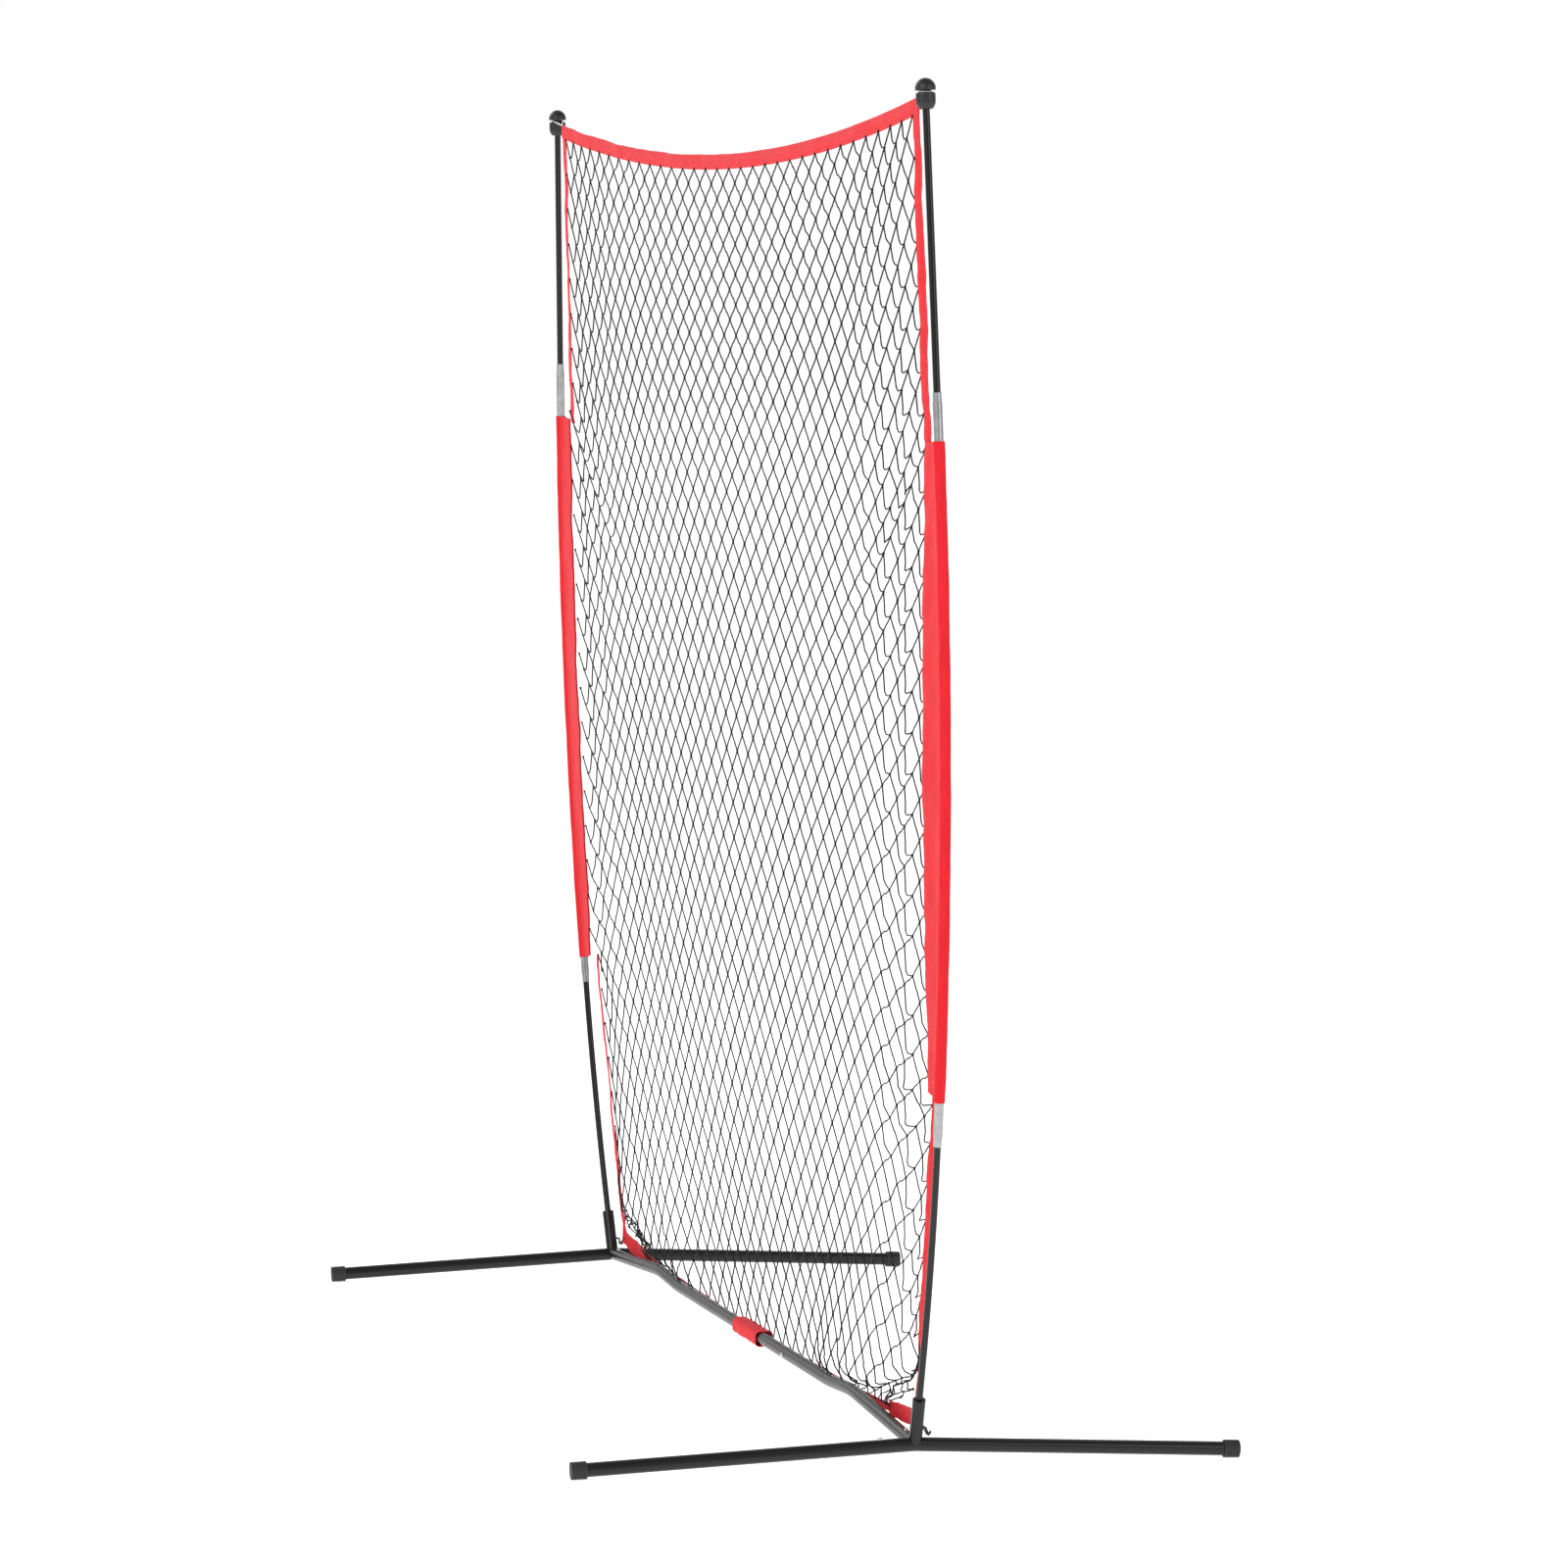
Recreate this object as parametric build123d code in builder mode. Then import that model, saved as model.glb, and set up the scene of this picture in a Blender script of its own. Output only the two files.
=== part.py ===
from build123d import *
from math import asin, atan2, cos, radians, sin, sqrt, tan
import os

os.makedirs("parts", exist_ok=True)

# A free-standing practice net: two T-shaped hubs joined by a crossbar, two bow poles
# and a net between them. X runs along the crossbar, the front is -Y and the floor is Z = 0.
# The two hubs are the same part: the left one is the right one turned half round.

# Base frame
base_span = 1776            # between the hub centres
hub_height = 37             # hub centre above the floor
leg_skew = 5.5              # degrees that both leg lines stand out of square with the crossbar
welded_leg_reach = 508      # hub centre to the middle of the end cap
plug_leg_reach = 528
leg_tube = 22.2             # outside diameter
leg_wall = 1.4
leg_stub_length = 78
mitre_stock = 2             # extra tube at the hub centre, cut off at the mitre
leg_plug_depth = 45         # swaged end of the plug-in leg inside the stub
slip_gap = 0.05             # radial clearance of a swaged end in its tube
shoulder = 3                # length over which a tube is swaged down

# End caps
cap_wall = 2.9
cap_length = 25
cap_cover = 21              # tube inside the cap
cap_flat = 0.8              # moulded flat under the cap
cap_groove = 1
cap_groove_count = 4
cap_groove_width = 1.6
cap_round = 1.2

# Crossbar
crossbar_tube = 20.6
crossbar_wall = 1.3
crossbar_stub_length = 62   # hub centre to the seam
crossbar_plug_depth = 40
crossbar_bend_in = 322      # hub centre to the bend, along X
crossbar_bend_height = 61   # tube centre above the floor at the bend
crossbar_crank_in = 30      # second, slight bend to the seam
crossbar_bend_radius = 380
end_tube_run = 475          # hub centre to the middle seam, along X
middle_height = 53.5        # centre of the level middle tube
middle_plug_depth = 220     # long swaged end inside the middle tube

# Pole sockets and bow poles
pole_lean = 19.4            # degrees outward at the foot
pole_sway = 1.83            # degrees that the pole plane leans to the front
pole_diameter = 11
pole_gap = 0.1              # radial clearance in the socket and the knob
socket_wall = 4.8
socket_top = 80             # along the pole, from the hub centre
socket_floor_wall = 4.9     # under the pole, above the leg tubes
socket_chamfer = 0.6
pole_straight = 100         # the pole is straight up to here, then bows
lower_joint = 558           # where the lower and middle sections meet
upper_joint = 1606          # where the middle and upper sections meet
lower_bow_radius = 2880
middle_bow_radius = 4400
ferrule_gap = 0.05
ferrule_wall = 1.7
ferrule_lip_wall = 1.05
ferrule_half = 50
ferrule_step = 14           # length of the thinner lip

# Top knobs
neck_at = 2100              # elastic's groove, along the pole
collar_length = 24
collar_foot_wall = 4.4      # thickness round the pole at the foot and the top
collar_top_wall = 9.2
collar_bowl = 12            # length over which it widens
collar_chamfer = 1.2
neck_wall = 2.4
neck_length = 4
dome_overhang = 7.6           # past the neck
dome_rim = 4
dome_height = 18
tip_depth = 6               # pole tip above the groove
collar_flutes = 12
flute_diameter = 2.4
flute_depth = 0.9
flute_run = 0.86            # part of the collar's length

# Snap buttons on bent spring strips inside the swaged ends
button_diameter = 6.5
button_gap = 0.08
button_stand = 3.2          # above the tube
button_round = 1.6
strip_width = 7
strip_thickness = 0.8
strip_tail = 5              # strip past the button, towards the open end
strip_length = 19           # button to the end of the moving half
strip_gap = 0.5             # moving half to the tube's wall
seat_gap = 0.05             # still half to the tube's wall
fold_gap = 0.6
leg_button_in = 22          # from the swaged end's mouth
hub_button_in = 21
middle_button_in = 24

# Fabric and net
hem_width = 25
hem_thickness = 2
soft_gap = 0.4              # between fabric pieces, and fabric to tubes
bottom_hem_width = 13
bottom_hem_drop = 6         # centre at mid span, below the crossbar's centre
bottom_hem_rise = 7         # centre at the bends, above mid span
corner_hem_rise = 12.5      # centre at the corner tabs, above mid span
top_sag = 69                # hem at mid span below its corners
hem_below_neck = 18         # top corners, along the pole
top_hem_inset = 49          # hem centre to pole centre
sleeve_over_upper = 16      # ferrule that the sleeve's top covers
sleeve_over_lower = 43
sleeve_top_inset = 66       # inner edge to pole centre
sleeve_bottom_inset = 50
lower_hem_at = 70           # lower end of the side hem, along the pole
lower_hem_inset = 45
sleeve_gap = 0.35           # sleeve to ferrule
sleeve_wall = 1.2
sleeve_web = 2.4            # thickness of the sleeve beside the pole
net_thickness = 1.5
tab_outer = 16              # corner tab's outer end from the hub centre
tab_inner = 172
tab_width = 24              # at the inner end, and above the peak's foot
tab_low = 23                # outer end above the hub centre
tab_peak = 65
tab_peak_width = 10
tab_peak_run = 12           # along X, from the peak to its foot
tab_inset = 7               # cord loop's middle to the tab's outer end
tab_loop_low = 8            # cord loop's middle above the tab's lower edge
corner_cord = 2.4
cord_seat = 0.75            # part of the hook's reach where the cord loop lies
corner_cord_gap = 0.3       # cord loop to the hook
corner_cord_clear = 1.34    # cord loop to the corner tab
strap_length = 140
strap_wall = 1.6
strap_round = 1.2
elastic_cord = 2.9
elastic_reach = 22          # neck to the loop's far turn
hook_wire = 3.4
hook_at = 27                # above the hub centre
hook_drop = 10
hook_rise = 5               # turned-up tip
hook_bend = 2               # bend radius

UP = Vector(0, 0, 1)

leg_bore = leg_tube - 2 * leg_wall
leg_plug = leg_bore - 2 * slip_gap
leg_plug_bore = leg_plug - 2 * leg_wall
crossbar_bore = crossbar_tube - 2 * crossbar_wall
crossbar_plug = crossbar_bore - 2 * slip_gap
crossbar_plug_bore = crossbar_plug - 2 * crossbar_wall
cap_diameter = leg_tube + 2 * cap_wall
cap_height = cap_diameter / 2 - cap_flat
pole_bore = pole_diameter + 2 * pole_gap
socket_diameter = pole_bore + 2 * socket_wall
ferrule_bore = pole_diameter + 2 * ferrule_gap
ferrule_diameter = ferrule_bore + 2 * ferrule_wall
ferrule_lip_diameter = ferrule_bore + 2 * ferrule_lip_wall
collar_foot = pole_bore + 2 * collar_foot_wall
collar_top = pole_bore + 2 * collar_top_wall
neck_diameter = pole_bore + 2 * neck_wall
dome_diameter = neck_diameter + 2 * dome_overhang

seam_x = base_span / 2 - end_tube_run
bend_x = base_span / 2 - crossbar_bend_in
stub_slope = atan2(crossbar_bend_height - hub_height, crossbar_bend_in)

socket_floor = leg_tube / 2 + socket_floor_wall

# Buttons, from the hub centre and from mid span
leg_button_at = leg_stub_length - leg_plug_depth + leg_button_in
hub_button_at = crossbar_stub_length - crossbar_plug_depth + hub_button_in
middle_button_at = seam_x - middle_plug_depth + middle_button_in

# The net hangs from the pole tops and passes behind the crossbar
hem_top_at = neck_at - hem_below_neck
sleeve_top = upper_joint - ferrule_half + sleeve_over_upper
sleeve_bottom = lower_joint + ferrule_half - sleeve_over_lower
bottom_hem_height = middle_height - bottom_hem_drop
bottom_hem_back = crossbar_tube / 2 + button_stand + soft_gap + hem_thickness / 2

pole_plane = Plane(
    origin=(0, 0, hub_height),
    x_dir=(1, 0, 0),
    z_dir=(0, -cos(radians(pole_sway)), -sin(radians(pole_sway))),
)


def hub_centre(side):
    return Vector(side * base_span / 2, 0, hub_height)


def leg_direction(side, reach, toward):
    # toward is 1 for the welded leg and -1 for the plug-in leg
    drop = asin((hub_height - cap_height) / reach)
    skew = radians(leg_skew)
    ahead = Vector(sin(skew), cos(skew), 0) * (side * toward * cos(drop))
    return ahead - UP * sin(drop)


def along(origin, direction):
    # Local Z runs along a tube and local Y as nearly up as it can
    return Plane(origin=origin, x_dir=UP.cross(direction), z_dir=direction)


def stub_direction(side):
    return Vector(-side * cos(stub_slope), 0, sin(stub_slope))


def bow_at(distance):
    # Place (out from mid span, up) and lean of the right pole, in the pole plane
    lean = radians(pole_lean)
    out, up = base_span / 2, 0
    straight = min(distance, pole_straight)
    out, up = out + straight * sin(lean), up + straight * cos(lean)
    spans = (
        (pole_straight, lower_joint, lower_bow_radius),
        (lower_joint, upper_joint, middle_bow_radius),
    )
    for start, end, radius in spans:
        turn = max(0, min(distance, end) - start) / radius
        out += radius * (cos(lean - turn) - cos(lean))
        up += radius * (sin(lean) - sin(lean - turn))
        lean -= turn
    rest = max(0, distance - upper_joint)
    return out + rest * sin(lean), up + rest * cos(lean), lean


def bow_point(side, distance):
    out, up, lean = bow_at(distance)
    return (side * out, up)


def bow_line(side, start, end):
    # Centre line of a stretch of pole, inside a BuildLine on the pole plane
    stops = [start, pole_straight, lower_joint, upper_joint, end]
    stops = [stop for stop in stops if start <= stop <= end]
    for low, high in zip(stops, stops[1:]):
        if high - low < 0.01:
            continue
        if high <= pole_straight or low >= upper_joint:
            Line(bow_point(side, low), bow_point(side, high))
        else:
            middle = bow_point(side, (low + high) / 2)
            ThreePointArc(bow_point(side, low), middle, bow_point(side, high))


def pole_frame(side, distance):
    # Plane across the pole: local X towards mid span, local Z up the pole
    out, up, lean = bow_at(distance)
    origin = pole_plane.from_local_coords(Vector(side * out, up))
    upward = pole_plane.x_dir * (side * sin(lean)) + pole_plane.y_dir * cos(lean)
    inward = pole_plane.x_dir * (-side * cos(lean)) + pole_plane.y_dir * sin(lean)
    return Plane(origin=origin, x_dir=inward, z_dir=upward)


hem_up = bow_at(hem_top_at)[1]
hem_height = hub_height + hem_up * cos(radians(pole_sway))
net_rise = hem_height - bottom_hem_height
net_tilt = atan2(hem_up * sin(radians(pole_sway)) + bottom_hem_back, net_rise)
net_plane = Plane(
    origin=(0, bottom_hem_back, bottom_hem_height),
    x_dir=(1, 0, 0),
    z_dir=(0, -cos(net_tilt), -sin(net_tilt)),
)


def z_to_net(z):
    # Height above the floor to local Y of the net plane
    return (z - bottom_hem_height) / cos(net_tilt)


def net_point(side, distance, inset):
    # Point of the net plane that lies inward of the pole
    out, up, lean = bow_at(distance)
    height = hub_height + up * cos(radians(pole_sway))
    return (side * (out - inset), z_to_net(height))


hem_end = net_point(1, hem_top_at, top_hem_inset - hem_width / 2)[0]
sag_radius = (hem_end**2 + top_sag**2) / (2 * top_sag)


def top_hem_y(x):
    # Centre of the top hem in the net plane
    fall = sag_radius - sqrt(sag_radius**2 - x**2)
    return z_to_net(hem_height) - top_sag + fall


def start_plane(path):
    return Plane(origin=path.wire() @ 0, z_dir=path.wire() % 0)


def keep(builder, name):
    builder.part.label = name
    export_step(builder.part, f"parts/{name}.step")


def leg_clip(side):
    # Clip planes: local X along the tube to the strip's fold, local Z out through the button
    leg = leg_direction(side, plug_leg_reach, -1)
    centre = hub_centre(side) + leg * leg_button_at
    return Plane(origin=centre, x_dir=leg, z_dir=along(centre, leg).y_dir)


def hub_clip(side):
    stub = stub_direction(side)
    centre = hub_centre(side) + stub * hub_button_at
    return Plane(origin=centre, x_dir=stub, z_dir=along(centre, stub).y_dir)


def middle_clip(side):
    # On the front face at the right and on the back face at the left
    centre = Vector(side * middle_button_at, 0, middle_height)
    return Plane(origin=centre, x_dir=(side, 0, 0), z_dir=(0, -side, 0))


def strip_top(plug_bore, gap):
    # How far from the tube's centre a flat strip of this width can lie
    return sqrt((plug_bore / 2) ** 2 - (strip_width / 2) ** 2) - gap


def drill_button_hole(clip, tube):
    # Through the upper wall only, inside a BuildPart
    with BuildSketch(clip) as hole:
        Circle(button_diameter / 2 + button_gap)
    extrude(hole.sketch, amount=tube, mode=Mode.SUBTRACT)


for side, end in ((1, "right"), (-1, "left")):
    hub = hub_centre(side)
    weld = leg_direction(side, welded_leg_reach, 1)
    plug = leg_direction(side, plug_leg_reach, -1)
    stub = stub_direction(side)
    mitre = Plane(origin=hub, z_dir=Vector(weld.X, weld.Y, 0))

    # Hub: two leg tubes mitred at its centre
    with BuildPart() as welded_leg:
        with BuildSketch(along(hub - weld * mitre_stock, weld)):
            Circle(leg_tube / 2)
            Circle(leg_bore / 2, mode=Mode.SUBTRACT)
        extrude(amount=mitre_stock + welded_leg_reach + cap_cover - cap_length / 2)
        split(bisect_by=mitre, keep=Keep.TOP)
    keep(welded_leg, f"{end}_welded_leg")

    with BuildPart() as leg_stub:
        with BuildSketch(along(hub - plug * mitre_stock, plug)):
            Circle(leg_tube / 2)
            Circle(leg_bore / 2, mode=Mode.SUBTRACT)
        extrude(amount=mitre_stock + leg_stub_length)
        split(bisect_by=mitre, keep=Keep.BOTTOM)
        drill_button_hole(leg_clip(side), leg_tube)
    keep(leg_stub, f"{end}_leg_stub")

    # Outer shape of both leg tubes, that the crossbar stub and the socket are coped to
    with BuildPart() as leg_bulk:
        for direction in (weld, plug):
            with BuildSketch(along(hub - direction * mitre_stock, direction)):
                Circle(leg_tube / 2)
            extrude(amount=mitre_stock + leg_stub_length)

    # Crossbar stub, coped to the leg tubes
    with BuildPart() as crossbar_stub:
        with BuildSketch(along(hub, stub)):
            Circle(crossbar_tube / 2)
            Circle(crossbar_bore / 2, mode=Mode.SUBTRACT)
        extrude(amount=crossbar_stub_length)
        add(leg_bulk.part, mode=Mode.SUBTRACT)
        drill_button_hole(hub_clip(side), crossbar_tube)
    keep(crossbar_stub, f"{end}_crossbar_stub")

    # Pole socket, coped to the leg tubes and the crossbar stub
    with BuildPart() as pole_socket:
        with BuildSketch(pole_frame(side, 0)):
            Circle(socket_diameter / 2)
        extrude(amount=socket_top)
        chamfer(pole_socket.edges().filter_by(GeomType.CIRCLE).sort_by(Axis.Z)[-1], socket_chamfer)
        with BuildSketch(pole_frame(side, socket_floor)):
            Circle(pole_bore / 2)
        extrude(amount=socket_top, mode=Mode.SUBTRACT)
        add(leg_bulk.part, mode=Mode.SUBTRACT)
        with BuildSketch(along(hub, stub)):
            Circle(crossbar_tube / 2)
        extrude(amount=crossbar_stub_length, mode=Mode.SUBTRACT)
    keep(pole_socket, f"{end}_pole_socket")

    # Hook behind the socket that the net's corner is tied to
    hook_x = hub.X + side * hook_at * tan(radians(pole_lean))
    hook_y = socket_diameter / 2 - hook_at * tan(radians(pole_sway)) - hook_wire / 4
    hook_root = Plane(origin=(hook_x, hook_y, hub_height + hook_at), x_dir=(0, 1, 0), z_dir=(1, 0, 0))
    cord_back = bottom_hem_back + (hem_thickness + corner_cord) / 2 + corner_cord_clear
    hook_reach = (cord_back - hook_y) / cord_seat
    with BuildPart() as corner_hook:
        with BuildLine(hook_root) as wire:
            FilletPolyline(
                (0, 0), (hook_reach / 2, 0), (hook_reach / 2, -hook_drop),
                (hook_reach, -hook_drop), (hook_reach, hook_rise - hook_drop),
                radius=hook_bend,
            )
        with BuildSketch(start_plane(wire)):
            Circle(hook_wire / 2)
        sweep()
        with BuildSketch(pole_frame(side, 0)):
            Circle(socket_diameter / 2)
        extrude(amount=socket_top, mode=Mode.SUBTRACT)
    keep(corner_hook, f"{end}_corner_hook")

    # Plug-in leg with its swaged end
    with BuildPart() as plug_leg:
        with BuildSketch(along(hub + plug * leg_stub_length, plug)):
            Circle(leg_tube / 2)
            Circle(leg_bore / 2, mode=Mode.SUBTRACT)
        extrude(amount=plug_leg_reach + cap_cover - cap_length / 2 - leg_stub_length)
        with BuildSketch(along(hub + plug * leg_stub_length, plug)):
            Circle(leg_tube / 2)
            Circle(leg_plug_bore / 2, mode=Mode.SUBTRACT)
        extrude(amount=shoulder)
        with BuildSketch(along(hub + plug * (leg_stub_length - leg_plug_depth), plug)):
            Circle(leg_plug / 2)
            Circle(leg_plug_bore / 2, mode=Mode.SUBTRACT)
        extrude(amount=leg_plug_depth)
        drill_button_hole(leg_clip(side), leg_tube)
    keep(plug_leg, f"{end}_plug_leg")

    # Rubber caps on both leg ends, flat where they stand on the floor
    for direction, reach in ((weld, welded_leg_reach), (plug, plug_leg_reach)):
        tip = hub + direction * (reach + cap_length / 2)
        with BuildPart() as cap:
            with BuildSketch(along(tip - direction * cap_length, direction)):
                Circle(cap_diameter / 2)
            extrude(amount=cap_length)
            fillet(cap.edges().filter_by(GeomType.CIRCLE), cap_round)
            for groove in range(cap_groove_count):
                pitch = cap_length / (cap_groove_count + 1)
                middle = tip - direction * (pitch * (groove + 1) + cap_groove_width / 2)
                with BuildSketch(along(middle, direction)):
                    Circle(cap_diameter / 2 + 1)
                    Circle(cap_diameter / 2 - cap_groove, mode=Mode.SUBTRACT)
                extrude(amount=cap_groove_width, mode=Mode.SUBTRACT)
            with BuildSketch(along(tip - direction * cap_length, direction)):
                Circle(leg_tube / 2)
            extrude(amount=cap_cover, mode=Mode.SUBTRACT)
            split(bisect_by=Plane.XY, keep=Keep.TOP)
        front_or_back = "front" if direction.Y < 0 else "back"
        keep(cap, f"{end}_{front_or_back}_cap")

    # Crossbar end tube: plug in the hub, two bends, and a long swaged end in the middle tube
    stub_seam = hub + stub * crossbar_stub_length
    seam = Vector(side * seam_x, 0, middle_height)
    with BuildPart() as crossbar_end:
        with BuildLine(Plane.XZ) as run:
            FilletPolyline(
                (stub_seam.X, stub_seam.Z),
                (side * bend_x, crossbar_bend_height),
                (side * (seam_x + crossbar_crank_in), middle_height),
                (seam.X, seam.Z),
                radius=crossbar_bend_radius,
            )
        with BuildSketch(start_plane(run)):
            Circle(crossbar_tube / 2)
            Circle(crossbar_bore / 2, mode=Mode.SUBTRACT)
        sweep()
        swages = (
            (stub_seam, -stub, crossbar_plug_depth),
            (seam, Vector(-side, 0, 0), middle_plug_depth),
        )
        for mouth, ahead, depth in swages:
            with BuildSketch(along(mouth - ahead * shoulder, ahead)):
                Circle(crossbar_bore / 2)
                Circle(crossbar_plug_bore / 2, mode=Mode.SUBTRACT)
            extrude(amount=shoulder)
            with BuildSketch(along(mouth - ahead * shoulder, ahead)):
                Circle(crossbar_plug / 2)
                Circle(crossbar_plug_bore / 2, mode=Mode.SUBTRACT)
            extrude(amount=shoulder + depth)
        drill_button_hole(hub_clip(side), crossbar_tube)
        drill_button_hole(middle_clip(side), crossbar_tube)
    keep(crossbar_end, f"{end}_crossbar_end")

    # Pole sections, butted inside their ferrules
    sections = (
        ("lower", socket_floor, lower_joint),
        ("middle", lower_joint, upper_joint),
        ("upper", upper_joint, neck_at + tip_depth),
    )
    for name, low, high in sections:
        with BuildPart() as pole:
            with BuildLine(pole_plane) as centre:
                bow_line(side, low, high)
            with BuildSketch(start_plane(centre)):
                Circle(pole_diameter / 2)
            sweep()
        keep(pole, f"{end}_{name}_pole")

    ferrules = (
        ("lower", lower_joint, -1),
        ("upper", upper_joint, 1),
    )
    for name, middle, lip in ferrules:
        low, high = middle - ferrule_half, middle + ferrule_half
        lip_edge = high - ferrule_step if lip > 0 else low + ferrule_step
        thick = (low, lip_edge) if lip > 0 else (lip_edge, high)
        thin = (lip_edge, high) if lip > 0 else (low, lip_edge)
        with BuildPart() as ferrule:
            for (start, stop), outside in ((thick, ferrule_diameter), (thin, ferrule_lip_diameter)):
                with BuildLine(pole_plane) as centre:
                    bow_line(side, start, stop)
                with BuildSketch(start_plane(centre)):
                    Circle(outside / 2)
                    Circle(ferrule_bore / 2, mode=Mode.SUBTRACT)
                sweep()
        keep(ferrule, f"{end}_{name}_ferrule")

    # Knob: fluted collar, neck for the elastic and domed head
    foot = pole_frame(side, neck_at - collar_length)
    profile = Plane(origin=foot.origin, x_dir=foot.x_dir, z_dir=foot.x_dir.cross(foot.z_dir))
    neck_top = collar_length + neck_length
    rim_top = neck_top + dome_rim
    knob_top = neck_top + dome_height
    crown = dome_height - dome_rim
    crown_radius = ((dome_diameter / 2) ** 2 + crown**2) / (2 * crown)
    crown_shoulder = dome_diameter / 3
    crown_fall = crown_radius - sqrt(crown_radius**2 - crown_shoulder**2)
    collar_swell = (collar_top - collar_foot) / 2
    bowl_radius = (collar_swell**2 + collar_bowl**2) / (2 * collar_swell)
    bowl_turn = asin(collar_bowl / bowl_radius) / 2
    bowl_x = collar_top / 2 - bowl_radius * (1 - cos(bowl_turn))
    bowl_z = collar_bowl - bowl_radius * sin(bowl_turn)
    with BuildPart() as knob:
        with BuildSketch(profile):
            with BuildLine():
                Polyline((0, knob_top), (0, 0), (collar_foot / 2, 0))
                ThreePointArc((collar_foot / 2, 0), (bowl_x, bowl_z), (collar_top / 2, collar_bowl))
                Polyline(
                    (collar_top / 2, collar_bowl), (collar_top / 2, collar_length - collar_chamfer),
                    (collar_top / 2 - collar_chamfer, collar_length), (neck_diameter / 2, collar_length),
                    (neck_diameter / 2, neck_top), (dome_diameter / 2, neck_top),
                    (dome_diameter / 2, rim_top),
                )
                ThreePointArc(
                    (dome_diameter / 2, rim_top), (crown_shoulder, knob_top - crown_fall), (0, knob_top)
                )
            make_face()
        revolve(axis=Axis(foot.origin, foot.z_dir))
        with BuildSketch(foot):
            with PolarLocations((collar_top + flute_diameter) / 2 - flute_depth, collar_flutes):
                Circle(flute_diameter / 2)
        extrude(amount=collar_length * flute_run, mode=Mode.SUBTRACT)
        with BuildSketch(foot):
            Circle(pole_bore / 2)
        extrude(amount=collar_length + tip_depth + pole_gap, mode=Mode.SUBTRACT)
    keep(knob, f"{end}_knob")

    # Elastic loop from the knob's neck to the net's top corner
    with BuildPart() as elastic:
        with BuildSketch(pole_frame(side, neck_at + (neck_length - elastic_cord) / 2)):
            with Locations((elastic_reach / 2, 0)):
                SlotCenterToCenter(elastic_reach, neck_diameter + 2 * elastic_cord + soft_gap)
                SlotCenterToCenter(elastic_reach, neck_diameter + soft_gap, mode=Mode.SUBTRACT)
        extrude(amount=elastic_cord)
    keep(elastic, f"{end}_elastic")

    # Sleeve: a pocket round the pole and a web with a straight inner edge
    pocket = ferrule_diameter / 2 + sleeve_gap
    top_x, top_y = bow_point(side, sleeve_top)
    low_x, low_y = bow_point(side, sleeve_bottom)
    mid_x, mid_y = bow_point(side, (sleeve_top + sleeve_bottom) / 2)
    with BuildPart() as sleeve:
        with BuildLine(pole_plane) as centre:
            bow_line(side, sleeve_bottom, sleeve_top)
        with BuildSketch(start_plane(centre)):
            Circle(pocket + sleeve_wall)
        sweep()
        with BuildSketch(pole_plane):
            with BuildLine():
                ThreePointArc((low_x, low_y), (mid_x, mid_y), (top_x, top_y))
                Polyline(
                    (top_x, top_y), (top_x - side * sleeve_top_inset, top_y),
                    (low_x - side * sleeve_bottom_inset, low_y), (low_x, low_y),
                )
            make_face()
        extrude(amount=sleeve_web / 2, both=True)
        with BuildLine(pole_plane) as centre:
            bow_line(side, sleeve_bottom - pocket, sleeve_top + pocket)
        with BuildSketch(start_plane(centre)):
            Circle(pocket)
        sweep(mode=Mode.SUBTRACT)
    keep(sleeve, f"{end}_sleeve")

    # Snap buttons, each on the moving half of its strip
    seats = (
        ("leg", leg_clip(side), leg_plug_bore, leg_tube),
        ("hub", hub_clip(side), crossbar_plug_bore, crossbar_tube),
        ("middle", middle_clip(side), crossbar_plug_bore, crossbar_tube),
    )
    for name, clip, plug_bore, tube in seats:
        strip_low = strip_top(plug_bore, strip_gap) - strip_thickness
        with BuildPart() as button:
            with BuildSketch(clip.offset(strip_low)):
                Circle(button_diameter / 2)
            extrude(amount=tube / 2 + button_stand - strip_low)
            crown = button.edges().sort_by(Axis(clip.origin, clip.z_dir))[-1]
            fillet(crown, button_round)
            with BuildSketch(clip.offset(strip_low)):
                with Locations(((strip_length - strip_tail) / 2, 0)):
                    Rectangle(strip_length + strip_tail, strip_width)
            extrude(amount=strip_thickness)
        keep(button, f"{end}_{name}_button")

    # Side hems between the top corner, the sleeve and the bottom corner
    hem_spans = (
        ("upper", sleeve_top, sleeve_top_inset, hem_top_at, top_hem_inset),
        ("lower", lower_hem_at, lower_hem_inset, sleeve_bottom, sleeve_bottom_inset),
    )
    for name, low_at, low_inset, high_at, high_inset in hem_spans:
        low_x, low_y = net_point(side, low_at, low_inset)
        high_x, high_y = net_point(side, high_at, high_inset)
        if name == "upper":
            low_y += soft_gap
            high_y = top_hem_y(high_x - side * hem_width / 2) - hem_width / 2 - soft_gap
        else:
            high_y -= soft_gap
        with BuildPart() as side_hem:
            with BuildSketch(net_plane):
                with BuildLine():
                    Polyline(
                        (low_x - hem_width / 2, low_y), (low_x + hem_width / 2, low_y),
                        (high_x + hem_width / 2, high_y), (high_x - hem_width / 2, high_y),
                        close=True,
                    )
                make_face()
            extrude(amount=hem_thickness / 2, both=True)
        keep(side_hem, f"{end}_{name}_side_hem")

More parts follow.
